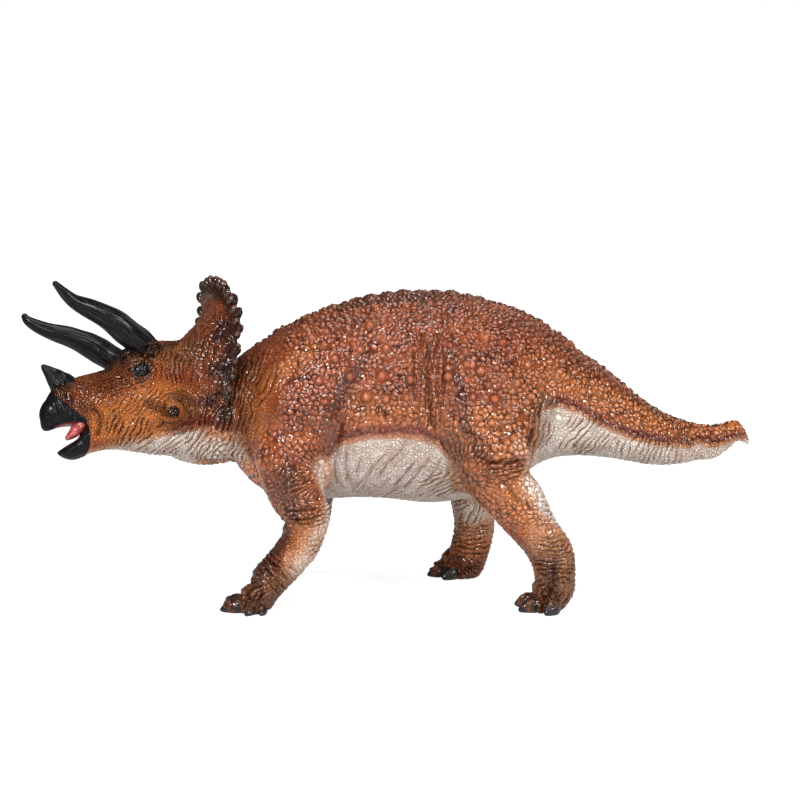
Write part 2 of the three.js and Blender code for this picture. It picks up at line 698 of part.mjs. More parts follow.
// The hollow lies between the neck's plug and the tail's: the ends of the torso are solid.
function hollow() {
  const plugEnd = NECK_PLUG_START.clone();
  plugEnd.x += NECK_PLUG_REACH;
  const front = plugEnd.applyMatrix4(headToBody).x + WALL;
  const rear = TORSO_REAR - TAIL_PLUG_LENGTH - WALL;
  const middle = torsoZ(0.5);
  const block = new THREE.BoxGeometry(rear - front, TORSO_WIDTH, TORSO_HEIGHT);
  return solid(torsoSkin(-WALL, 8, 12)).intersect(solid(block.translate((front + rear) / 2, 0, middle)));
}

// One half of the body, to the side that its sign gives: -1 is the left half, which carries the pins.
function bodyShell(side) {
  const outer = torsoMass();
  const bosses = pinsOf(PIN_RADIUS + WALL / 2, PIN_LENGTH / 2 + WALL / 2);
  const lining = plugsInTorso(WALL).add(bosses).intersect(outer);
  const closed = join([outer.subtract(hollow()), lining, ...backScutes()]).subtract(plugsInTorso(BOND_GAP));
  const block = new THREE.BoxGeometry(TORSO_LENGTH * 2, TORSO_WIDTH, TORSO_HEIGHT * 4);
  const half = closed.intersect(solid(block.translate(0, (side * (TORSO_WIDTH + BOND_GAP)) / 2, 0)));
  if (side < 0) return largest(half.add(pinsOf(PIN_RADIUS, PIN_LENGTH / 2)));
  return largest(half.subtract(pinsOf(PIN_RADIUS + BOND_GAP, PIN_LENGTH / 2 + BOND_GAP)));
}

// Paint
const skinPaint = { color: 0xb0683a, roughness: 0.42, metalness: 0 };
const legPaint = { color: 0x9a5a38, roughness: 0.42, metalness: 0 };
const hornPaint = { color: 0x1c1714, roughness: 0.35, metalness: 0 };
const jawPaint = { color: 0x8a5a40, roughness: 0.42, metalness: 0 };
const tonguePaint = { color: 0xb24848, roughness: 0.35, metalness: 0 };

function piece(name, made, paint) {
  const mesh = new THREE.Mesh(geometryOf(made), new THREE.MeshStandardMaterial(paint));
  mesh.name = name;
  return mesh;
}

const figure = new THREE.Group();
figure.add(piece("body_shell_left", bodyShell(-1), skinPaint));
figure.add(piece("body_shell_right", bodyShell(1), skinPaint));
figure.add(piece("tail", tail(), skinPaint));

const legNames = ["front_leg_left", "front_leg_right", "hind_leg_left", "hind_leg_right"];
LEGS.forEach((limb, i) => {
  const mesh = piece(legNames[i], leg(limb), legPaint);
  mesh.position.copy(limb.root);
  figure.add(mesh);
});

const headGroup = new THREE.Group();
headGroup.position.copy(headPivot);
headGroup.rotation.copy(headTurn);
headGroup.add(piece("head", head(), skinPaint));
headGroup.add(piece("lower_jaw", lowerJaw(), jawPaint));
headGroup.add(piece("tongue", tongue(), tonguePaint));
headGroup.add(piece("brow_horn_left", solid(browHorn(1)), hornPaint));
headGroup.add(piece("brow_horn_right", solid(browHorn(-1)), hornPaint));
headGroup.add(piece("nose_horn", solid(noseHorn()), hornPaint));
figure.add(headGroup);

// The origin goes to the middle of the footprint's box, on the floor.
figure.updateMatrixWorld(true);
const middle = new THREE.Box3().setFromObject(figure, true).getCenter(new THREE.Vector3());
for (const child of figure.children) {
  child.position.x -= middle.x;
  child.position.y -= middle.y;
}

export default figure;
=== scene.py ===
import math

import bmesh
import bpy
import numpy as np
from mathutils import Matrix, Vector
from mathutils.bvhtree import BVHTree


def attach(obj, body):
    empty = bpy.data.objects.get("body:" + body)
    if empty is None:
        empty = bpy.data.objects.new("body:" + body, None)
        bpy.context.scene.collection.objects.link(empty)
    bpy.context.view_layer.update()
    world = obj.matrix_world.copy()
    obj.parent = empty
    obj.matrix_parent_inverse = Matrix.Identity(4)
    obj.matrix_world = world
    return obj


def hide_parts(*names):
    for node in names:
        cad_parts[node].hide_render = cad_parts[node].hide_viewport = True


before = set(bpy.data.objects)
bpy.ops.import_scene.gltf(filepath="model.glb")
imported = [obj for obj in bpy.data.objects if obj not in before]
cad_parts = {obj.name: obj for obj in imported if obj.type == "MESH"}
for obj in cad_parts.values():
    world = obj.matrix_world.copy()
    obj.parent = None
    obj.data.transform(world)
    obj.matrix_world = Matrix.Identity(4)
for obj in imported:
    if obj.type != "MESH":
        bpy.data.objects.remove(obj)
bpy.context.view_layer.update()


# The studio: a white paper sweep that takes the figure's soft shadow, softboxes at both sides and overhead,
# and a camera half a metre off the animal's left flank that looks a little down, as in the photograph.
MM = 0.001
PICTURE_PIXELS = 800
PICTURE_WIDTH = 200 * MM  # what the picture spans at the middle of the body
CAMERA_PLACE = Vector((2.56, -500, 113.8)) * MM
CAMERA_AIM = Vector((2.56, 0, 49.1)) * MM
CLIP_START = 0.01
SENSOR_WIDTH = 36

scene = bpy.context.scene
scene.view_settings.view_transform = "Standard"

camera_data = bpy.data.cameras.new("camera")
camera_data.sensor_width = SENSOR_WIDTH
camera_data.lens = SENSOR_WIDTH * (CAMERA_AIM - CAMERA_PLACE).length / PICTURE_WIDTH
camera_data.clip_start = CLIP_START
camera = bpy.data.objects.new("camera", camera_data)
camera.location = CAMERA_PLACE
camera.rotation_euler = (CAMERA_AIM - CAMERA_PLACE).to_track_quat("-Z", "Y").to_euler()
scene.collection.objects.link(camera)
scene.camera = camera

SOFTBOXES = {
    # name: place, side of the square box and power, in metres and watts
    "small_box": ((-0.12, -0.78, 0.42), 0.09, 2.6),
    "key_box": ((-0.42, -0.6, 0.6), 0.13, 5.1),
    "fill_box": ((0.6, -0.6, 0.4), 0.2, 5.0),
    "top_box": ((0.0, -0.05, 0.85), 0.3, 3.2),
    "back_box": ((0.3, 0.75, 0.5), 0.5, 1.0),
}
for name, (place, side, power) in SOFTBOXES.items():
    lamp = bpy.data.lights.new(name, "AREA")
    lamp.size = side
    lamp.energy = power
    softbox = bpy.data.objects.new(name, lamp)
    softbox.location = place
    softbox.rotation_euler = (CAMERA_AIM - Vector(place)).to_track_quat("-Z", "Y").to_euler()
    scene.collection.objects.link(softbox)


def feed(tree, entry, value):
    """Gives a node's input a value, or links it to a socket or to the first output of a node."""
    if hasattr(value, "outputs"):
        value = value.outputs[0]
    if isinstance(value, bpy.types.NodeSocket):
        tree.links.new(value, entry)
    else:
        entry.default_value = value


def add_node(tree, kind, inputs=None, **settings):
    """A node with its settings and its inputs, each by the input's name or number."""
    made = tree.nodes.new(kind)
    for name, value in settings.items():
        setattr(made, name, value)
    for name, value in (inputs or {}).items():
        feed(tree, made.inputs[name], value)
    return made


def seen_by_camera(tree):
    """1 for rays that come from the camera, so that it sees the plain backdrop."""
    return add_node(tree, "ShaderNodeLightPath").outputs["Is Camera Ray"]


WHITE = (1, 1, 1, 1)
SKY_LIGHT = 0.115
world = bpy.data.worlds.new("white_sky")
world.use_nodes = True
scene.world = world
sky = world.node_tree
sky.nodes.clear()
plain = add_node(sky, "ShaderNodeBackground", {"Color": WHITE, "Strength": 1})
lit = add_node(sky, "ShaderNodeBackground", {"Color": WHITE, "Strength": SKY_LIGHT})
both = add_node(sky, "ShaderNodeMixShader", {0: seen_by_camera(sky), 1: lit, 2: plain})
add_node(sky, "ShaderNodeOutputWorld", {"Surface": both})


def from_bmesh(name, shape):
    """A smooth mesh of what a BMesh holds."""
    made = bpy.data.meshes.new(name)
    shape.to_mesh(made)
    shape.free()
    made.polygons.foreach_set("use_smooth", np.ones(len(made.polygons), bool))
    return made


PAPER = (0.86, 0.86, 0.86, 1)
FLOOR_RADIUS = 3
FLOOR_SIDES = 64
SHADOW_REACH = (0.1, 0.2)  # past these distances from the middle the sheet fades to plain white
SHADOW_DEPTH = 0.3
FLOOR_GLOW = 1.25  # makes up for what the lit part of the sheet is short of white
floor_paint = bpy.data.materials.new("white_paper")
floor_paint.use_nodes = True
paper = floor_paint.node_tree
paper.nodes.clear()
matte = add_node(paper, "ShaderNodeBsdfDiffuse", {"Color": PAPER})
glow = add_node(paper, "ShaderNodeEmission", {"Color": WHITE, "Strength": FLOOR_GLOW})
spot = add_node(paper, "ShaderNodeTexCoord").outputs["Object"]
reach = add_node(paper, "ShaderNodeVectorMath", {0: spot}, operation="LENGTH").outputs["Value"]
whiteness = add_node(paper, "ShaderNodeMapRange", {
    "Value": reach, "From Min": SHADOW_REACH[0], "From Max": SHADOW_REACH[1], "To Min": 1 - SHADOW_DEPTH,
    "To Max": 1}, interpolation_type="SMOOTHSTEP")
share = add_node(paper, "ShaderNodeMath", {0: seen_by_camera(paper), 1: whiteness}, operation="MULTIPLY")
sheet = add_node(paper, "ShaderNodeMixShader", {0: share, 1: matte, 2: glow})
add_node(paper, "ShaderNodeOutputMaterial", {"Surface": sheet})
floor_shape = bmesh.new()
bmesh.ops.create_circle(floor_shape, cap_ends=True, segments=FLOOR_SIDES, radius=FLOOR_RADIUS)
floor_mesh = from_bmesh("floor", floor_shape)
floor_mesh.materials.append(floor_paint)
floor = bpy.data.objects.new("floor", floor_mesh)
scene.collection.objects.link(floor)


# The hide: the soft vinyl skin of the body, head, tail and legs, pulled from one sculpted original.
# It starts from the solids of nine mouldings, which are swollen across the bond gaps, fused and smoothed.
SKIN_NODES = ["body_shell_left", "body_shell_right", "tail", "head", "lower_jaw",
              "front_leg_left", "front_leg_right", "hind_leg_left", "hind_leg_right"]
WELD = 0.002  # all lengths of the hide are in millimetres until it is divided
SWELL = 0.24
GRAIN = 0.6  # side of the fused skin's faces, before they are halved
FILLERS = [
    # ahead, left and up from the head's pivot, and radius: they fill the sockets of the horns and eyes
    (40.6, 0, 3.6, 4.0), (26.0, 7.6, 11.0, 3.6), (26.0, -7.6, 11.0, 3.6), (23.5, 5.8, 9.8, 4.2),
    (23.5, -5.8, 9.8, 4.2), (21.5, 6.0, 8.6, 3.8), (21.5, -6.0, 8.6, 3.8),
]
EASE_ROUNDS = 90
BALL_FINENESS = 3  # of the balls that fill sockets and toes

HEAD_PIVOT = Vector((-40.59, 0, 48.6))
HEAD_AHEAD = Vector((-0.9272, -0.3746, 0))
HEAD_LEFT = Vector((0.3563, -0.8818, 0.3090))
HEAD_UP = Vector((-0.1158, 0.2865, 0.9511))


def in_head(ahead, left, up):
    """A place in the head's own directions, from its pivot in the neck."""
    return HEAD_PIVOT + HEAD_AHEAD * ahead + HEAD_LEFT * left + HEAD_UP * up


def new_mesh(name, points, quads, triangles=np.empty((0, 3), int)):
    """A smooth mesh of quads, and triangles if given, from arrays."""
    made = bpy.data.meshes.new(name)
    made.vertices.add(len(points))
    made.vertices.foreach_set("co", points.astype(np.float32).ravel())
    corners = np.concatenate([quads.ravel(), triangles.ravel()]).astype(np.int32)
    starts = np.concatenate([np.arange(len(quads)) * 4, quads.size + np.arange(len(triangles)) * 3])
    made.loops.add(len(corners))
    made.loops.foreach_set("vertex_index", corners)
    made.polygons.add(len(starts))
    made.polygons.foreach_set("loop_start", starts.astype(np.int32))
    made.polygons.foreach_set("use_smooth", np.ones(len(starts), bool))
    made.update(calc_edges=True)
    return made


def arrays_of(mesh):
    """The points and quads of a mesh."""
    points = np.empty(len(mesh.vertices) * 3, np.float32)
    mesh.vertices.foreach_get("co", points)
    quads = np.empty(len(mesh.loops), np.int32)
    mesh.loops.foreach_get("vertex_index", quads)
    return points.reshape(-1, 3).astype(float), quads.reshape(-1, 4)


def normals_of(mesh):
    """The direction that each point of a mesh faces."""
    normals = np.empty(len(mesh.vertices) * 3, np.float32)
    mesh.vertices.foreach_get("normal", normals)
    return normals.reshape(-1, 3).astype(float)


def settled(obj):
    """The mesh that an object's modifiers make, with the modifiers taken off."""
    depsgraph = bpy.context.evaluated_depsgraph_get()
    made = bpy.data.meshes.new_from_object(obj.evaluated_get(depsgraph))
    obj.modifiers.clear()
    return made


def edges_of(quads):
    """Each edge of some quads once, as its two points."""
    ends = np.stack([quads, np.roll(quads, -1, 1)], -1).reshape(-1, 2)
    return np.unique(np.sort(ends, 1), axis=0)


def skins_of(count, edges):
    """A number for each point, alike on all the points that edges join."""
    label = np.arange(count)
    while True:
        low = np.minimum(label[edges[:, 0]], label[edges[:, 1]])
        lower = label.copy()
        np.minimum.at(lower, edges[:, 0], low)
        np.minimum.at(lower, edges[:, 1], low)
        lower = lower[lower]
        if (lower == label).all():
            return label
        label = lower


def ease(points, edges, amount, rounds):
    """Points drawn towards the middle of their neighbours, each by its own amount."""
    count = np.bincount(edges.ravel(), minlength=len(points))[:, None]
    a, b = edges.T
    for _ in range(rounds):
        total = np.stack([np.bincount(a, points[b, k], len(points))
                          + np.bincount(b, points[a, k], len(points)) for k in range(3)], 1)
        points = points + amount[:, None] * (total / count - points)
    return points


FEET = [
    # place of the sole's middle, which way is outward, and its toes
    ((-34.23, -19.55), -1, "front"), ((-29.43, 19.55), 1, "front"),
    ((37.56, -19.55), -1, "hind"), ((16.76, 19.55), 1, "hind_right"),
]
TOES = {
    # ahead and outward from the sole's middle, height and radius of the flesh that fills out each toe
    "front": [(3.0, 2.2, 1.9, 2.6), (0.6, 4.0, 1.6, 2.5), (-2.6, 4.3, 1.6, 2.2)],
    "hind": [(2.6, 0.6, 1.9, 2.7), (-1.0, 4.0, 1.8, 2.7)],
    "hind_right": [(2.6, 0.6, 1.9, 2.7), (0.6, -3.0, 1.9, 2.9)],
}


def fused_skin():
    """The solids of the nine mouldings, swollen and filled out with balls, as one skin."""
    whole = bmesh.new()
    for node in SKIN_NODES:
        part = bmesh.new()
        part.from_mesh(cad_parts[node].data)
        bmesh.ops.scale(part, vec=(1 / MM,) * 3, verts=part.verts)
        bmesh.ops.remove_doubles(part, verts=part.verts, dist=WELD)
        part.normal_update()
        for vert in part.verts:
            vert.co += vert.normal * SWELL
        whole.from_mesh(from_bmesh(node, part))
    balls = [(in_head(*place), radius) for *place, radius in FILLERS]
    balls += [((x - ahead, y + side * out, up), radius)
              for (x, y), side, kind in FEET for ahead, out, up, radius in TOES[kind]]
    for place, radius in balls:
        ball = bmesh.ops.create_icosphere(whole, subdivisions=BALL_FINENESS, radius=radius)
        bmesh.ops.translate(whole, vec=place, verts=ball["verts"])
    skin = bpy.data.objects.new("skin", from_bmesh("skin", whole))
    scene.collection.objects.link(skin)
    remesh = skin.modifiers.new("fuse", "REMESH")
    remesh.mode = "VOXEL"
    remesh.voxel_size = GRAIN
    fused = settled(skin)
    bpy.data.objects.remove(skin)
    return arrays_of(fused)


points, quads = fused_skin()
label = skins_of(len(points), edges_of(quads))
outer = np.bincount(label).argmax()
quads = quads[(label == outer)[quads].all(1)]
used, quads = np.unique(quads, return_inverse=True)
points = points[used]
quads = quads.reshape(-1, 4)


def node_of_faces(points, quads):
    """The number in SKIN_NODES of the moulding that each face lies nearest to."""
    corners, faces, owner = [], [], []
    for number, node in enumerate(SKIN_NODES):
        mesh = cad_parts[node].data
        faces += [[len(corners) + i for i in face.vertices] for face in mesh.polygons]
        corners += [vert.co / MM for vert in mesh.vertices]
        owner += [number] * len(mesh.polygons)
    tree = BVHTree.FromPolygons(corners, faces)
    return np.array([owner[tree.find_nearest(middle)[2]] for middle in points[quads].mean(1)])


def step(low, high, values):
    """0 up to low, 1 from high, and smooth between them."""
    t = np.clip((values - low) / (high - low), 0, 1)
    return t * t * (3 - 2 * t)


def head_places(points):
    """Points in the head's own directions: ahead, left and up."""
    axes = np.array([HEAD_AHEAD, HEAD_LEFT, HEAD_UP])
    return (points - np.array(HEAD_PIVOT)) @ axes.T


FRILL_HALF_WIDTH = 19.2
FRILL_RISE = 21.2  # from the middle of the frill to its top
FRILL_MIDDLE = 10  # up from the head's pivot


def from_frill_middle(left, up):
    """The distance from the middle of the frill, in which its rim is round."""
    return np.hypot(left, (up - FRILL_MIDDLE) * FRILL_HALF_WIDTH / FRILL_RISE)


# Each region is 1 inside and fades to 0 between two distances, in millimetres along X, Y or Z or in the
# head's own directions.
face_node = node_of_faces(points, quads)
edges = edges_of(quads)
ahead, left, up = head_places(points).T
in_frill = step(9, 14, np.hypot(left, up)) * step(-9, -6, ahead) * step(14, 10, ahead)
HEAD_EASE = 0.35  # of the rounds, so that the head and the feet keep their form
DRAW = 0.5  # how far each round of easing draws a point
soft = step(10, -2, ahead) * step(12, 20, points[:, 2]) * (1 - in_frill)
points = ease(points, edges, DRAW * (1 - 0.6 * in_frill), int(EASE_ROUNDS * HEAD_EASE / 2))
points = ease(points, edges, DRAW * soft, EASE_ROUNDS)
ahead, left, up = head_places(points).T
brow = np.exp(-(((ahead - 25) / 8) ** 2 + ((np.abs(left) - 8.4) / 6) ** 2 + ((up - 13) / 5) ** 2) ** 2)
points = ease(points, edges, DRAW * brow, EASE_ROUNDS)


# The hide's modelling: folds of skin, muscles, the mouth, nostrils and eyelids, all cut into the original.
# Places that were read off the photograph are its pixels, followed by the line of sight to the skin.
def sight(px, py):
    """The direction from the camera through a pixel of the photograph."""
    ahead = (CAMERA_AIM - CAMERA_PLACE).normalized()
    across = ahead.cross(Vector((0, 0, 1))).normalized()
    scale = PICTURE_WIDTH / PICTURE_PIXELS / (CAMERA_AIM - CAMERA_PLACE).length
    half = PICTURE_PIXELS / 2
    return ahead + scale * ((px - half) * across + (half - py) * across.cross(ahead))


def on_skin(px, py):
    """Where the line of sight through a pixel meets the hide."""
    hit = skin_tree.ray_cast(CAMERA_PLACE / MM, sight(px, py).normalized())[0]
    if hit is None:
        hit = skin_tree.find_nearest(in_side_view(px, py))[0]
    return hit


FLANK_DEPTH = -15  # the plane of the near flank, where pixels stand for places seen from the side


def in_side_view(px, py, depth=FLANK_DEPTH):
    """The place that a pixel shows in an upright plane along the body, at a depth along Y."""
    direction = sight(px, py)
    return CAMERA_PLACE / MM + direction * ((depth - CAMERA_PLACE.y / MM) / direction.y)


STANCE = {"front": 4.8, "hind": -20.8}  # how far behind the left leg of each pair the right one stands


def other_side(place, part):
    """The same place on the other side of the head, the body or a pair of legs, on the skin."""
    if part == "head":
        ahead, left, up = head_places(np.array([place]))[0]
        mirrored = in_head(ahead, -left, up)
    else:
        shift = STANCE.get(part, 0) * (1 if place.y < 0 else -1)
        mirrored = Vector((place.x + shift, -place.y, place.z))
    return skin_tree.find_nearest(mirrored)[0]


def both_sides(pixels, part):
    """A path through pixels laid on the hide, and the same path on the other side."""
    path = [on_skin(*pixel) for pixel in pixels]
    return path, [other_side(place, part) for place in path]


def from_path(path, points, reach):
    """The points within reach of a path, with how far each is from it and its share of the way along."""
    path = np.array(path)
    low, high = path.min(0) - reach, path.max(0) + reach
    near = np.flatnonzero(((points > low) & (points < high)).all(1))
    best = np.full(len(near), np.inf)
    along = np.zeros(len(near))
    lengths = np.linalg.norm(np.diff(path, axis=0), axis=1)
    starts = np.concatenate([[0], np.cumsum(lengths)]) / lengths.sum()
    for k, (a, b) in enumerate(zip(path[:-1], path[1:])):
        t = np.clip((points[near] - a) @ (b - a) / (lengths[k] ** 2), 0, 1)
        gap = np.linalg.norm(points[near] - a - t[:, None] * (b - a), axis=1)
        closer = gap < best
        best[closer] = gap[closer]
        along[closer] = (starts[k] + t * (starts[k + 1] - starts[k]))[closer]
    keep = best < reach
    return near[keep], best[keep], along[keep]


def smooth_path(path):
    """A path with three more points between each pair, rounded through them."""
    path = [Vector(place) for place in path]
    ends = [2 * path[0] - path[1], *path, 2 * path[-1] - path[-2]]  # so that the first and last are met
    made = []
    for a, b, c, d in zip(ends, ends[1:], ends[2:], ends[3:]):
        for t in (0, 0.25, 0.5, 0.75):
            made.append(b + 0.5 * t * (c - a + t * (2 * a - 5 * b + 4 * c - d + t * (3 * (b - c) + d - a))))
    return made + [path[-1]]


def cut(points, normals, path, width, depth, lip=0.0):
    """A fold along a path: a groove of a depth, with a raised lip at each side, that fades at its ends."""
    laid = [skin_tree.find_nearest(place)[0] for place in smooth_path(path)]
    near, gap, along = from_path(laid, points, 4 * width)
    fade = step(0, 0.15, along) * step(1, 0.85, along)
    groove = np.exp(-((gap / width) ** 2))
    form = -depth * groove + lip * np.exp(-(((gap - 1.9 * width) / width) ** 2))
    points[near] += normals[near] * (form * fade)[:, None]
    return near, groove * fade


def nudge(points, centre, radii, shift):
    """Shifts what lies round a place by a distance that fades out at its radii along X, Y and Z."""
    size = (((points - np.array(centre)) / np.array(radii)) ** 2).sum(1)
    near = np.flatnonzero(size < 6)
    points[near] += np.exp(-size[near])[:, None] * np.array(shift)


NEAR, FAR, RIDGE, TAIL, BOTH = -19, 19, 0, 13, None  # distances along Y, and both sides alike
NUDGES = [
    # pixel, which side it is on, radii along X, Y and Z, and the shift along X and Z
    ((262, 540), NEAR, (8, 12, 7), 0.45, 0.0), ((300, 550), NEAR, (6, 12, 7), 0.45, 0.0),
    ((235, 584), NEAR, (5, 9, 3.2), 0.5, -1.3), ((243, 578), NEAR, (4, 9, 3), 0.3, -0.6),
    ((556, 540), NEAR, (9, 12, 7), 0.6, 0.0), ((540, 562), NEAR, (6, 12, 6), 0.5, 0.0),
    ((548, 492), NEAR, (7, 12, 8), 0.8, 0.0), ((328, 522), NEAR, (5, 12, 5), 0.9, 0.0),
    ((534, 471), NEAR, (3, 14, 3), -1.8, 0.0), ((560, 522), NEAR, (4, 12, 6), -1.0, 0.0),
    ((577, 578), NEAR, (3, 12, 8), -0.6, 0.0), ((515, 541), NEAR, (8, 12, 6), -0.7, -0.2),
    ((534, 562), NEAR, (4, 12, 5), -0.8, 0.0), ((572, 608), NEAR, (4, 12, 3), -1.1, 0.4),
    ((278, 604), NEAR, (4, 12, 3.5), -1.1, 0.3), ((545, 464), BOTH, (7, 30, 4), 0.0, 0.9),
    ((650, 464), BOTH, (16, 30, 5), 0.0, -0.5), ((302, 572), FAR, (5, 10, 4), -1.8, 0.0),
    ((112, 455), BOTH, (7, 30, 3.5), 0.0, 0.5), ((182, 458), BOTH, (6, 30, 4), 0.0, -0.2),
    ((222, 463), BOTH, (7, 30, 4), 0.0, 0.6), ((256, 345), RIDGE, (8, 12, 6), -0.3, 0.7),
    ((160, 342), BOTH, (5, 14, 4), 0.0, 0.8), ((380, 292), RIDGE, (16, 9, 8), 0.0, 0.3),
    ((450, 294), RIDGE, (14, 9, 8), 0.0, 0.3), ((530, 322), RIDGE, (18, 9, 9), 0.2, 0.6),
    ((590, 360), RIDGE, (10, 9, 8), 0.1, 0.4),
]
for pixel, side, radii, across, rise in NUDGES:
    centre = in_side_view(*pixel, FLANK_DEPTH if side is BOTH else side)
    if side is BOTH:
        centre.y = 0
    nudge(points, centre, radii, (across, 0, rise))

# The tail ends in a flap that hangs down: its last part is fitted between the two outlines in the photograph.
TAIL_TOP = [(690, 422), (704, 422.5), (716, 421.5), (732, 418.5), (739, 420.5), (745, 427), (749.5, 434),
            (751, 441)]
TAIL_BOTTOM = [(690, 463), (704, 459), (716, 452.5), (729, 445), (735.5, 440), (739, 440), (745, 444),
               (751, 448)]

SLICE = 0.7
THINNEST = 0.4
tops = np.array([in_side_view(*pixel, TAIL).xz for pixel in TAIL_TOP])
bottoms = np.array([in_side_view(*pixel, TAIL).xz for pixel in TAIL_BOTTOM])
tail_start, tail_end = tops[0, 0], points[:, 0].max()
tip = np.flatnonzero(points[:, 0] > tail_start)
x, y, z = points[tip].T
slices = np.arange(tail_start, tail_end + 0.5, SLICE)
slice_of = np.clip(np.digitize(x, slices) - 1, 0, len(slices) - 1)
full = np.unique(slice_of)
lows = [z[slice_of == k].min() for k in full]
highs = [z[slice_of == k].max() for k in full]
low_at = np.interp(x, slices[full] + SLICE / 2, lows)
high_at = np.interp(x, slices[full] + SLICE / 2, highs)
share = np.clip((z - low_at) / np.maximum(high_at - low_at, THINNEST), 0, 1)
stretched = np.interp(x, [tail_start, tail_end], [tail_start, tops[-1, 0]])
low_to, high_to = np.interp(stretched, *bottoms.T), np.interp(stretched, *tops.T)
fitted = low_to + share * (high_to - low_to)
amount = step(tail_start, tops[2, 0], x)
points[tip, 0] = stretched
points[tip, 2] += amount * (fitted - z)

# The frill is dished: its middle is drawn back, and its rim lies within the knobs, which are put on later.
ahead, left, up = head_places(points).T
DISH_DEPTH = 2.5
leaning = step(18, 13, ahead) * step(-12, -6, ahead) * step(13, 17, up) * step(31, 23, up)
dish = DISH_DEPTH * leaning * np.where(left < 0, step(-17, -9, left), 0.4 + 0.6 * step(9, 2, left))
points -= np.array(HEAD_AHEAD) * dish[:, None]
RIM_INSET = 1.2
in_frill = step(8, 12, np.hypot(left, up - 2)) * step(14, 10, ahead) * step(-12, -8, ahead) * step(-6, 2, up)
from_middle = from_frill_middle(left, up)
sideways = left / np.maximum(from_middle, 1)
upwards = (up - FRILL_MIDDLE) / np.maximum(from_middle, 1)
corner = np.exp(-(((np.degrees(np.arctan2(sideways, upwards)) + 20) / 16) ** 2))
inward = RIM_INSET * in_frill * step(14, 19, from_middle) * (1 + 0.5 * step(0, 9, left) - 1.7 * corner)
points -= np.outer(inward * sideways, np.array(HEAD_LEFT)) + np.outer(inward * upwards, np.array(HEAD_UP))


def refined(points, quads, face_node):
    """The hide with each face divided in four, its points rounded, and its faces' mouldings carried over."""
    mesh = new_mesh("refined", points, quads)
    mesh.attributes.new("moulding", "INT", "FACE").data.foreach_set("value", face_node.astype(np.int32))
    obj = bpy.data.objects.new("refined", mesh)
    scene.collection.objects.link(obj)
    subdivision = obj.modifiers.new("halve", "SUBSURF")
    subdivision.levels = subdivision.render_levels = 1
    fine = settled(obj)
    bpy.data.objects.remove(obj)
    moulding = np.empty(len(fine.polygons), np.int32)
    fine.attributes["moulding"].data.foreach_get("value", moulding)
    return (*arrays_of(fine), moulding)


points, quads, face_node = refined(points, quads, face_node)
skin_tree = BVHTree.FromPolygons(points.tolist(), quads.tolist())

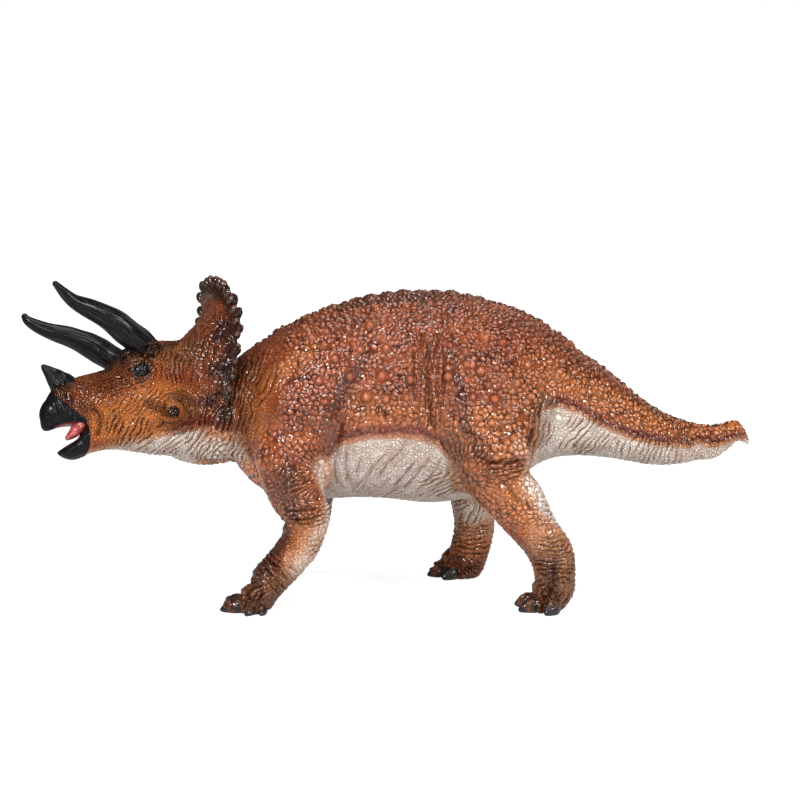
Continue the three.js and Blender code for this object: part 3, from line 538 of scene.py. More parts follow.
FOLDS = {
    # by part: width, depth, lip, and the path in pixels
    "body": [
        (2.2, 1.0, 0.3, [(336, 392), (331, 425), (327, 455), (325, 480), (328, 498)]),
        (0.8, 0.5, 0.2, [(344, 412), (338, 440), (335, 468), (339, 490)]),
        (0.7, 0.45, 0.2, [(352, 438), (346, 462), (349, 486)]),
        (2.0, 0.9, 0.3, [(241, 400), (240, 425), (241, 448), (247, 468)]),
        (0.8, 0.6, 0.3, [(433, 332), (429, 360), (428, 390), (431, 420), (437, 440)]),
        (0.6, 0.45, 0.25, [(439, 326), (437, 350), (436, 385), (440, 415)]),
        (0.6, 0.4, 0.2, [(423, 325), (421, 345), (421, 365), (421, 398)]),
        (0.5, 0.35, 0.2, [(416, 330), (414, 350), (413, 385), (415, 410)]),
        (0.6, 0.4, 0.2, [(444, 345), (444, 370), (445, 400)]),
        (2.0, 0.9, 0.2, [(455, 400), (449, 425), (450, 450), (460, 476), (477, 498)]),
        (1.8, 0.7, 0.2, [(553, 372), (547, 398), (540, 425), (534, 448), (528, 464)]),
        (0.7, 0.4, 0.2, [(560, 392), (553, 420), (545, 446)]),
        (0.5, 0.35, 0.15, [(409, 437), (400, 452), (386, 466), (374, 484)]),
        (0.4, 0.25, 0.1, [(392, 449), (378, 462), (366, 480), (361, 492)]),
        (0.45, 0.4, 0.15, [(346, 439), (344.5, 471), (338, 490)]),
        (0.45, 0.4, 0.15, [(353, 440.5), (351.5, 456.5), (347, 477), (340, 491)]),
        (0.4, 0.35, 0.15, [(363, 454), (356, 471), (347, 486)]),
        (0.4, 0.35, 0.15, [(375, 458), (370, 470), (359, 484), (349, 491)]),
        (0.45, 0.4, 0.15, [(421, 456), (411.5, 466), (403.5, 476), (391, 489)]),
        (0.45, 0.4, 0.15, [(435, 451), (422.5, 468), (413, 479), (400, 491)]),
        (0.4, 0.35, 0.15, [(444, 455), (435.5, 469), (426, 482), (412, 494)]),
        (0.4, 0.35, 0.15, [(452, 460), (446.5, 474), (437, 486), (428, 495)]),
        (0.35, 0.3, 0.1, [(404, 483), (394, 491), (380, 497)]),
    ],
    "hind": [
        (0.7, 0.35, 0.2, [(475, 455), (490, 462), (508, 462), (524, 458)]),
        (0.9, 0.5, 0.3, [(499, 478), (512, 492), (520, 508)]),
        (0.6, 0.45, 0.2, [(505, 474), (517, 487), (528, 504), (532, 516)]),
        (0.5, 0.9, 0.2, [(517, 609), (521, 603), (528, 597), (535, 592)]),
        (0.8, 1.5, 0.3, [(543, 614), (542.5, 604), (545, 595), (550, 586)]),
        (0.8, 0.5, 0.2, [(552, 588), (553, 577), (552, 564)]),
        (0.6, 0.9, 0.2, [(446, 582), (447, 574), (454, 567), (462, 563)]),
    ],
    "front": [
        (0.7, 0.4, 0.2, [(262, 500), (280, 519), (303, 520), (326, 518)]),
        (0.5, 0.3, 0.2, [(282, 512), (300, 511), (322, 508)]),
        (0.6, 0.45, 0.3, [(270, 560), (280, 573), (290, 582)]),
        (0.6, 0.4, 0.3, [(263, 565), (273, 576), (283, 587)]),
        (0.6, 1.1, 0.2, [(250, 577), (247.5, 588), (246, 600), (245, 611)]),
        (0.5, 0.9, 0.2, [(262, 590), (259, 600), (256, 611)]),
        (0.4, 0.35, 0.2, [(235, 590), (237, 599), (240, 609)]),
    ],
    "head": [
        (1.3, 0.7, 0.3, [(181, 398), (190, 405), (197, 410)]),
        (0.7, 1.0, 0.4, [(89.5, 406), (97.8, 414.5), (99.5, 420), (99, 427), (97.4, 440)]),
        (0.55, 0.9, 0.3, [(99, 408.7), (102.4, 413.7), (104.2, 421), (105, 431), (103.6, 439)]),
        (0.5, 0.8, 0.3, [(105.7, 407.4), (108.6, 418), (110.2, 427), (109, 436.5)]),
        (0.5, 0.7, 0.3, [(111.5, 407), (114.4, 418), (115, 425), (113.6, 433)]),
        (0.45, 0.6, 0.3, [(117, 410), (119, 420), (119.4, 427)]),
        (1.0, 0.5, 0.2, [(146, 398), (152, 408), (163, 414), (172, 416)]),
        (0.7, 0.4, 0.2, [(180, 438), (186, 432), (193, 427)]),
    ],
}
FOLD_WASH_AND_SHADE = 0.85  # how dark a fold is painted: a wash in it that also paints its shade
WIDE_FOLD = 0.8  # wider folds are painted less dark
crease = np.zeros(len(points))
normals = normals_of(new_mesh("halved", points, quads))
for part, folds in FOLDS.items():
    for width, depth, lip, pixels in folds:
        for path in both_sides(pixels, part):
            near, groove = cut(points, normals, path, width, depth, lip)
            crease[near] = np.maximum(crease[near], FOLD_WASH_AND_SHADE * min(1, WIDE_FOLD / width) * groove)


def waviness(points, length):
    """A smooth wandering between -1 and 1 with waves of about a length, the same each time."""
    waves = [(0.83, 0.31, 0.47, 0.4), (-0.36, 0.91, 0.22, 1.7), (0.15, -0.42, 0.89, 2.9),
             (0.6, 0.55, -0.58, 4.4)]
    turned = [np.sin(points @ np.array(wave[:3]) * 2 * math.pi / length + wave[3]) for wave in waves]
    return sum(turned) / len(waves)


def wrinkle(points, kind, centre, along, across, radii, length):
    """A patch of wrinkles, as lines, rings or a fan: the points it reaches, its strength and its furrows."""
    offset = points - np.array(centre)
    parts = [offset @ np.array(way) for way in (along, across, along.cross(across))]
    size = sum((part / radius) ** 2 for part, radius in zip(parts, radii))
    near = np.flatnonzero(size < 3)
    one, two = parts[0][near], parts[1][near]
    reach = np.hypot(one, two)
    wander = 0.8 * waviness(points[near], 9 * length) + 0.35 * waviness(points[near], 2.7 * length)
    strength = np.exp(-(size[near] ** 2)) * (0.8 + 0.4 * waviness(points[near], 5 * length))
    if kind == "lines":
        phase = two / length + wander
    elif kind == "rings":
        phase = reach / length + wander
        strength *= step(0.8 * length, 2 * length, reach)
    else:
        phase = np.arctan2(two, one) / (2 * math.pi) * round(3.8 * radii[0] / length) + 0.5 * wander
        strength *= step(0.12 * radii[0], 0.35 * radii[0], reach)
        if kind == "half fan":
            strength *= step(3, -3, one)
    return near, strength, (0.5 + 0.5 * np.cos(2 * math.pi * phase)) ** 1.4


WRINKLES = {
    # by kind and part: middle in pixels, lean of the lines in degrees, reach along and across,
    # spacing and height
    ("lines", "body"): [
        ((247, 392), 76, 15, 5.5, 1.15, 0.3), ((237, 446), 74, 7, 4.5, 1.2, 0.4),
        ((262, 385), 62, 9, 4.0, 1.3, 0.3), ((432, 378), 88, 15, 5.0, 1.5, 0.28),
        ((350, 405), 84, 10, 4.0, 1.4, 0.2), ((400, 478), 42, 13, 9.0, 1.4, 0.22),
        ((390, 495), 24, 16, 4.0, 1.1, 0.24), ((436, 484), 36, 9, 7.0, 1.3, 0.32),
        ((541, 432), 72, 10, 4.5, 1.3, 0.4), ((585, 440), 55, 7, 11.0, 1.35, 0.36),
        ((650, 453), 68, 5, 17.0, 1.35, 0.3), ((710, 447), 70, 4, 9.0, 1.2, 0.26),
        ((705, 430), 80, 5, 8.0, 1.2, 0.1),
    ],
    ("lines", "head"): [
        ((205, 446), 50, 6, 9.0, 1.3, 0.4), ((165, 446), 35, 6, 6.0, 1.2, 0.3),
        ((132, 431), 62, 6, 8.0, 1.15, 0.42), ((118, 388), 20, 8, 4.5, 1.05, 0.3),
        ((172, 372), 76, 9, 6.0, 1.15, 0.34), ((125, 405), 50, 6, 6.0, 1.1, 0.26),
        ((216, 424), 72, 6, 6.0, 1.2, 0.36), ((200, 345), 62, 12, 6.0, 1.2, 0.26),
        ((158, 352), 60, 6, 6.0, 1.1, 0.3), ((150, 440), 30, 7, 4.0, 1.2, 0.34),
    ],
    ("rings", "head"): [
        ((176, 408), 90, 17, 11.0, 1.15, 0.27), ((141, 370), 90, 7, 6.0, 1.0, 0.34),
        ((76, 395), 90, 6.5, 5.5, 0.95, 0.26),
    ],
    ("half fan", "body"): [
        ((328, 474), 0, 14, 14.0, 1.2, 0.3),
    ],
    ("fan", "body"): [
        ((463, 476), 0, 12, 12.0, 1.1, 0.28),
    ],
    ("lines", "front"): [
        ((274, 483), 50, 7, 5.0, 1.1, 0.24), ((316, 514), 2, 8, 4.0, 1.1, 0.42),
        ((276, 574), -46, 7, 5.0, 1.15, 0.42), ((236, 598), 62, 4, 5.0, 1.3, 0.44),
        ((252, 598), 40, 4, 5.0, 1.3, 0.44), ((322, 545), 20, 5, 6.0, 1.1, 0.34),
    ],
    ("lines", "hind"): [
        ((555, 508), 14, 6, 8.0, 1.1, 0.34), ((556, 562), 4, 7, 8.0, 1.05, 0.42),
        ((534, 594), 40, 5, 5.0, 1.3, 0.48), ((556, 598), 56, 5, 5.0, 1.3, 0.48),
        ((472, 540), 2, 8, 7.5, 1.1, 0.46), ((466, 566), -40, 5, 5.0, 1.1, 0.46),
        ((470, 512), 70, 5, 5.0, 1.3, 0.3), ((505, 470), 8, 9, 3.5, 1.2, 0.34),
    ],
}
WRINKLE_DEPTH = 9  # how far below and above its middle a patch reaches
OVERLAP = 0.12  # where two patches meet, the stronger one fades out within this lead
mesh = new_mesh("fine", points, quads)
normals = normals_of(mesh)
strongest, second, furrow, lift = np.zeros((4, len(points)))
for (kind, part), patches in WRINKLES.items():
    back, upward = (-HEAD_AHEAD, HEAD_UP) if part == "head" else (Vector((1, 0, 0)), Vector((0, 0, 1)))
    for pixel, lean, reach_along, reach_across, length, height in patches:
        lean = math.radians(lean)
        line = back * math.cos(lean) + upward * math.sin(lean)
        cross = back * math.sin(lean) - upward * math.cos(lean)
        radii = (reach_along, reach_across, WRINKLE_DEPTH)
        for (centre,) in both_sides([pixel], part):
            near, strength, furrows = wrinkle(points, kind, centre, line, cross, radii, length)
            better = strength > strongest[near]
            second[near] = np.where(better, strongest[near], np.maximum(second[near], strength))
            strongest[near[better]] = strength[better]
            furrow[near[better]] = furrows[better]
            lift[near[better]] = height
wrinkled = strongest * step(0, OVERLAP, strongest - second)
points += normals * (lift * wrinkled * (0.45 - furrow))[:, None]
# The wrinkles' furrows join the creases, which the paint darkens: a wash that also paints their shade.
crease = np.maximum(crease, np.minimum(1, 1.5 * wrinkled) * furrow * np.minimum(1, lift / 0.32))

mesh.vertices.foreach_set("co", points.astype(np.float32).ravel())
mesh.update()
hide = bpy.data.objects.new("hide", mesh)
scene.collection.objects.link(hide)


class Term:
    """A number in a tree, with which sums are written as sums."""

    def __init__(self, tree, outputs):
        self.tree = tree
        self.outputs = outputs

    def __add__(self, other):
        return maths(self.tree, "ADD", self, other)

    def __sub__(self, other):
        return maths(self.tree, "SUBTRACT", self, other)

    def __rsub__(self, other):
        return maths(self.tree, "SUBTRACT", other, self)

    def __mul__(self, other):
        return maths(self.tree, "MULTIPLY", self, other)

    def __truediv__(self, other):
        return maths(self.tree, "DIVIDE", self, other)

    def __pow__(self, other):
        return maths(self.tree, "POWER", self, other)

    __radd__ = __add__
    __rmul__ = __mul__

    def at_least(self, other):
        return maths(self.tree, "MAXIMUM", self, other)

    def at_most(self, other):
        return maths(self.tree, "MINIMUM", self, other)

    def exp(self):
        return maths(self.tree, "EXPONENT", self)


def maths(tree, operation, *values):
    """A Math node of numbers, sockets and terms."""
    return Term(tree, add_node(tree, "ShaderNodeMath", dict(enumerate(values)), operation=operation).outputs)


def ramped(tree, value, low, high, to_low=0.0, to_high=1.0):
    """A value carried smoothly from one range to another."""
    return Term(tree, add_node(tree, "ShaderNodeMapRange", {
        "Value": value, "From Min": low, "From Max": high, "To Min": to_low, "To Max": to_high},
        interpolation_type="SMOOTHSTEP").outputs)


def mixed(tree, share, a, b, kind="RGBA"):
    """A Mix node of two colours or two numbers, each a value or a socket."""
    first, result = (6, 2) if kind == "RGBA" else (2, 0)
    made = add_node(tree, "ShaderNodeMix", {0: share, first: a, first + 1: b}, data_type=kind)
    return Term(tree, [made.outputs[result]])


def named(tree, name, kind="FLOAT"):
    """What each point of a mesh holds under a name."""
    held = add_node(tree, "GeometryNodeInputNamedAttribute", {"Name": name}, data_type=kind)
    return Term(tree, held.outputs)


def store(tree, geometry, name, value):
    """A geometry whose points each hold a number under a name."""
    return add_node(tree, "GeometryNodeStoreNamedAttribute", {
        "Geometry": geometry, "Name": name, "Value": value}, data_type="FLOAT", domain="POINT")


def raise_by(tree, geometry, distance):
    """A geometry whose points are moved the way they face."""
    facing = add_node(tree, "GeometryNodeInputNormal")
    push = add_node(tree, "ShaderNodeVectorMath", {0: facing, "Scale": distance}, operation="SCALE")
    return add_node(tree, "GeometryNodeSetPosition", {"Geometry": geometry, "Offset": push})


def new_tree(name, inputs):
    """A Geometry Nodes tree with named inputs, each with its kind and its value."""
    tree = bpy.data.node_groups.new(name, "GeometryNodeTree")
    tree.interface.new_socket("Geometry", in_out="INPUT", socket_type="NodeSocketGeometry")
    tree.interface.new_socket("Geometry", in_out="OUTPUT", socket_type="NodeSocketGeometry")
    for label, (kind, value) in inputs.items():
        socket = tree.interface.new_socket(label, in_out="INPUT", socket_type="NodeSocket" + kind)
        if value is not None:
            socket.default_value = value
    return tree, add_node(tree, "NodeGroupInput").outputs


def end_tree(tree, geometry, material):
    """Closes a tree with Realize Instances and Set Material."""
    real = add_node(tree, "GeometryNodeRealizeInstances", {"Geometry": geometry})
    painted = add_node(tree, "GeometryNodeSetMaterial", {"Geometry": real, "Material": material})
    add_node(tree, "NodeGroupOutput", {"Geometry": painted})


def grow(obj, tree, values):
    """An object's mesh as a tree makes it from named values, with the modifier taken off again."""
    modifier = obj.modifiers.new(tree.name, "NODES")
    modifier.node_group = tree
    for socket in tree.interface.items_tree:
        if socket.in_out == "INPUT" and socket.name in values:
            modifier[socket.identifier] = values[socket.name]
    return settled(obj)


# The scales: pebbles and plates all over, and round tubercles that each stand in a ring-shaped groove.
# The largest tubercles are placed one by one and the others are scattered, all raised in the same original.
# The sizes of the cells that both the modelling and the paint follow.
PEBBLE_SIZE, PLATE_SIZE, FINE_SIZE = 1.25, 1.5, 0.75
TUBERCLES = [
    # pixels across and down, and the radius in millimetres
    (348, 329, 1.25), (370, 326, 1.35), (376, 308, 1.2), (357, 312, 1.0), (335, 316, 1.0),
    (360, 350, 1.05), (386, 348, 1.2), (335, 359, 1.2), (353, 364, 1.05), (350, 377, 1.45),
    (382, 376, 1.5), (396, 370, 0.9), (411, 380, 1.35), (414, 349, 1.1), (448, 377, 1.4), (366, 397, 1.5),
    (386, 399, 1.2), (319, 381, 1.2), (305, 327, 1.1), (327, 332, 1.0), (406, 306, 1.2), (430, 304, 1.0),
    (485, 339, 1.35), (481, 371, 1.35), (510, 357, 1.15), (517, 383, 1.2), (495, 399, 1.25),
    (473, 397, 1.1), (484, 350, 0.9), (501, 322, 1.0), (566, 346, 1.2), (587, 364, 1.2), (528, 365, 1.0),
    (466, 352, 1.0), (492, 423, 1.1), (478, 418, 0.9), (310, 356, 1.0), (297, 342, 0.9), (342, 345, 0.9),
    (452, 330, 0.9), (470, 322, 1.0), (535, 340, 1.0), (550, 362, 0.95), (605, 372, 1.0), (503, 440, 0.95),
    (484, 446, 0.85), (325, 402, 1.0), (300, 372, 0.9),
]
TUBERCLE_SHARE = 0.88  # of their given radius, at which they are raised
SEAT_REACH = 3.2  # nearer to a placed tubercle than this none is scattered
seats = [(on_skin(px, py), TUBERCLE_SHARE * radius) for px, py, radius in TUBERCLES]
seats += [(other_side(place, "body"), radius) for place, radius in seats]
seat_mesh = bpy.data.meshes.new("tubercle_seats")
seat_mesh.from_pydata([place for place, radius in seats], [], [])
bump_sizes = seat_mesh.attributes.new("bump_size", "FLOAT", "POINT")
bump_sizes.data.foreach_set("value", [radius for place, radius in seats])
tubercle_seats = bpy.data.objects.new("tubercle_seats", seat_mesh)
scene.collection.objects.link(tubercle_seats)


def pebble_tops(tree, place, size):
    """Rounded pebbles with creases between them, from 0 in a crease to 1 on top, of about a size."""
    drift = add_node(tree, "ShaderNodeTexNoise", {"Vector": place, "Scale": 0.4, "Detail": 2.0})
    drifted = add_node(tree, "ShaderNodeVectorMath", {
        0: drift.outputs["Color"], 1: (1.1, 1.1, 1.1), 2: place}, operation="MULTIPLY_ADD")
    cells = {"Vector": drifted, "Scale": maths(tree, "DIVIDE", 1.0, size), "Randomness": 0.85}
    middle = add_node(tree, "ShaderNodeTexVoronoi", cells).outputs["Distance"]
    rim = add_node(tree, "ShaderNodeTexVoronoi", cells, feature="DISTANCE_TO_EDGE").outputs["Distance"]
    dome = (1 - maths(tree, "DIVIDE", middle, 0.66) ** 2).at_least(0)
    return ramped(tree, rim, -0.02, 0.2) * (0.25 + 0.75 * dome)


scales, given = new_tree("scaly hide", {
    "Pebble Size": ("Float", PEBBLE_SIZE),
    "Pebble Height": ("Float", 0.46),
    "Plate Size": ("Float", PLATE_SIZE),
    "Plate Height": ("Float", 0.4),
    "Tubercle Seats": ("Object", None),
    "Tubercle Spacing": ("Float", 3.4),
    "Tubercle Density": ("Float", 0.12),
    "Smallest Tubercle": ("Float", 0.6),
    "Largest Tubercle": ("Float", 0.9),
    "Tubercle Height": ("Float", 0.8),
    "Seed": ("Int", 7),
    "Material": ("Material", None),
})
place = add_node(scales, "GeometryNodeInputPosition")
knobbed = named(scales, "knobbly")
scatter = add_node(scales, "GeometryNodeDistributePointsOnFaces", {
    "Mesh": given["Geometry"], "Distance Min": given["Tubercle Spacing"],
    "Density Max": given["Tubercle Density"], "Density Factor": knobbed, "Seed": given["Seed"]},
    distribute_method="POISSON")
marks = add_node(scales, "GeometryNodeObjectInfo", {"Object": given["Tubercle Seats"]}).outputs["Geometry"]
to_mark = add_node(scales, "GeometryNodeProximity", {0: marks}, target_element="POINTS").outputs["Distance"]
close = add_node(scales, "FunctionNodeCompare", {0: to_mark, 1: SEAT_REACH}, operation="LESS_THAN",
                 data_type="FLOAT")
thinned = add_node(scales, "GeometryNodeDeleteGeometry", {"Geometry": scatter, "Selection": close},
                   domain="POINT")
drawn = add_node(scales, "FunctionNodeRandomValue", {
    2: given["Smallest Tubercle"], 3: given["Largest Tubercle"], "Seed": given["Seed"]}, data_type="FLOAT")
spots = add_node(scales, "GeometryNodeJoinGeometry")
feed(scales, spots.inputs[0], store(scales, thinned, "bump_size", drawn.outputs[1]))
feed(scales, spots.inputs[0], add_node(scales, "GeometryNodeMeshToPoints", {"Mesh": marks}))
nearest = add_node(scales, "GeometryNodeSampleNearest", {"Geometry": spots}, domain="POINT")
spot, size = [add_node(scales, "GeometryNodeSampleIndex", {
    "Geometry": spots, "Value": value, "Index": nearest}, data_type=kind, domain="POINT").outputs[0]
    for value, kind in ((place, "FLOAT_VECTOR"), (named(scales, "bump_size"), "FLOAT"))]
gap = add_node(scales, "ShaderNodeVectorMath", {0: place, 1: spot}, operation="DISTANCE").outputs["Value"]
ratio = maths(scales, "DIVIDE", gap, size)

# A tubercle's profile, in shares of its radius: a dome, its groove past one and a low rim at one and a half.
GROOVE_AT, GROOVE_DEPTH, GROOVE_STEEPNESS = 1.12, 0.42, 26
RIM_AT, RIM_HEIGHT, RIM_STEEPNESS = 1.48, 0.16, 22
dome = (1 - ratio.at_most(1) ** 2) ** 1.1
groove = ((ratio - GROOVE_AT) ** 2 * -GROOVE_STEEPNESS).exp()
rim = ((ratio - RIM_AT) ** 2 * -RIM_STEEPNESS).exp()
in_knobs = ramped(scales, knobbed, 0.02, 0.2)
raised = (dome + RIM_HEIGHT * rim - GROOVE_DEPTH * groove) * given["Tubercle Height"] * (in_knobs * size)
small = (pebble_tops(scales, place, given["Pebble Size"]) - 0.5) * given["Pebble Height"]
large = (pebble_tops(scales, place, given["Plate Size"]) - 0.5) * given["Plate Height"]
away = ramped(scales, ratio, 1.2, 1.9).at_least(1 - in_knobs)
pebbles = mixed(scales, named(scales, "plated"), small, large, "FLOAT") * (named(scales, "scaly") * away)

# What the paint takes from the scales is kept as it was before they moved the surface.
taken = {"knob": dome * in_knobs, "ring": groove * in_knobs}
held = add_node(scales, "GeometryNodeCaptureAttribute", {0: given["Geometry"]}, domain="POINT")
for number, (name, value) in enumerate(taken.items(), 1):
    held.capture_items.new("FLOAT", name)
    feed(scales, held.inputs[number], value)
covered = raise_by(scales, held, pebbles + raised)
for number, name in enumerate(taken, 1):
    covered = store(scales, covered, name, held.outputs[number])
end_tree(scales, covered, given["Material"])


# What the paint and the scales of each place depend on, as a number for each point of the hide.
def keep(mesh, name, values):
    """Stores a number for each point of a mesh, for the trees and the paint to read."""
    mesh.attributes.new(name, "FLOAT", "POINT").data.foreach_set("value", values.astype(np.float32))


def head_pixel(px, py, left):
    """Where the line of sight through a pixel meets the plane of the head that lies so far to its left."""
    eye = CAMERA_PLACE / MM
    direction = sight(px, py)
    t = (left - (eye - HEAD_PIVOT).dot(HEAD_LEFT)) / direction.dot(HEAD_LEFT)
    return head_places(np.array([eye + direction * t]))[0]


def along_line(places, axis, value_axis, at):
    """The height of a line of places over one axis, read at other values of that axis."""
    line = np.array(sorted([place[axis], place[value_axis]] for place in places))
    return np.interp(at, line[:, 0], line[:, 1])


THROAT_LINE = [(92, 450), (120, 442.5), (150, 438), (185, 430), (215, 428), (240, 430)]
BELLY_LINE = [(322, 478), (335, 447), (345, 441), (370, 437), (400, 436), (425, 438), (440, 445), (455, 466)]
TAIL_LINE = [(524, 452), (535, 425), (543, 409), (560, 405), (580, 412), (600, 425), (630, 437), (660, 444),
             (690, 447), (715, 446), (730, 441.5), (742, 442), (748, 445)]
throat_places = head_places(np.array([on_skin(*pixel) for pixel in THROAT_LINE]))
belly_places = [on_skin(*pixel) for pixel in BELLY_LINE]
tail_places = [on_skin(*pixel) for pixel in TAIL_LINE]

BEAK_BORDER = [
    # pixel and how far to the left of the head's middle it lies
    (50.6, 391.0, 0.5), (56.4, 397.5, 2), (62.2, 402.0, 3), (71.3, 407.5, 4.5), (81.3, 412.5, 6),
    (88.5, 417.5, 6.5), (91.0, 424, 6.5), (91.8, 433, 6.5), (91.8, 441, 6), (90.5, 449, 5), (87, 457, 2),
]
beak_places = [head_pixel(*place) for place in BEAK_BORDER]

X, Y, Z = points.T
ahead, left, up = head_places(points).T
beak = ahead - along_line(beak_places, 2, 0, up)
in_head_part = step(4, 12, ahead)
LIMB_ROUNDS = 60
limbs = np.zeros((len(points), 3))  # how far each point is of the forelegs, the hind legs and the head
for limb, nodes in enumerate((("front_leg_left", "front_leg_right"), ("hind_leg_left", "hind_leg_right"),
                              ("head", "lower_jaw"))):
    for node in nodes:
        limbs[quads[face_node == SKIN_NODES.index(node)].ravel(), limb] = 1
limbs = ease(limbs, edges_of(quads), np.full(len(points), DRAW), LIMB_ROUNDS)
foreleg, hindleg = limbs[:, 0], limbs[:, 1]
legs = np.maximum(foreleg, hindleg)

scaly = np.clip(1 - 1.1 * step(-0.4, 0.2, beak), 0, 1) * step(0.1, 0.8, Z)
fine = in_head_part * step(30, 22, np.hypot(left, up) + 4 * (ahead < 12))
knobbly = step(42, 48, Z) * step(-30, -24, X) * step(62, 50, X) * (1 - in_head_part)
plated = step(0.3, 0.7, legs) * step(26, 34, Z) + step(50, 42, Z) * step(-18, -12, X) * step(16, 10, X)
keep(mesh, "knobbly", knobbly)
keep(mesh, "plated", np.clip(plated, 0, 1))

# pale: the cream belly, throat, underside of the tail, and the inner and rear sides of the legs
wander = 0.9 * waviness(points, 17) + 0.5 * waviness(points, 6)
throat_line = along_line(throat_places, 0, 2, ahead)
throat = step(1.0, -1.0, up - throat_line + 0.4 * wander) * in_head_part
body_line = along_line(belly_places, 0, 2, X)
belly = step(1.2, -1.2, Z - body_line + 0.8 * wander) * step(-21, -17, X) * step(19, 14, X)
tail_line = along_line(tail_places, 0, 2, X)
under = step(1.0, -1.0, Z - tail_line + 0.25 * wander) * step(32, 36, X)
between = step(-24, -20, X) * step(40, 34, X) * step(31, 27, Z)
pale = np.maximum.reduce([throat, belly * (1 - legs), under * (1 - 0.7 * hindleg), between * (1 - legs)])
inner = step(18.5, 16.5, np.abs(Y)) * step(40, 34, Z) * step(9, 17, Z)
pale = np.maximum(pale, 0.85 * legs * inner * step(-34, -29, X))
neck = step(-24, -29, X) * step(2, 8, -ahead + 10) * step(33, 38, Z) * (1 - foreleg)
fine = np.maximum.reduce([fine, pale, neck * 0.8, 0.6 * crease, 0.55 * legs * step(26, 18, Z)])
keep(mesh, "fine", fine)
keep(mesh, "scaly", scaly * (1 - 0.8 * fine))

# stripe: the dark red-brown band above the pale parts
above = np.maximum(Z - body_line, 0)
stripe = np.exp(-(((above - 1.5) / 1.25) ** 2)) * step(-21, -17, X) * step(19, 14, X) * (1 - legs)
above_tail = Z - tail_line
stripe = np.maximum(stripe, np.exp(-(((above_tail - 1.4) / 1.0) ** 2)) * step(33, 37, X) * step(93, 88, X))
above_throat = up - throat_line
nape = step(20, 14, ahead) * step(-3, 2, ahead)
stripe = np.maximum(stripe, np.exp(-(((above_throat - 1.6) / 1.6) ** 2)) * nape)
keep(mesh, "stripe", np.clip(stripe * (0.95 + 0.15 * wander), 0, 1))

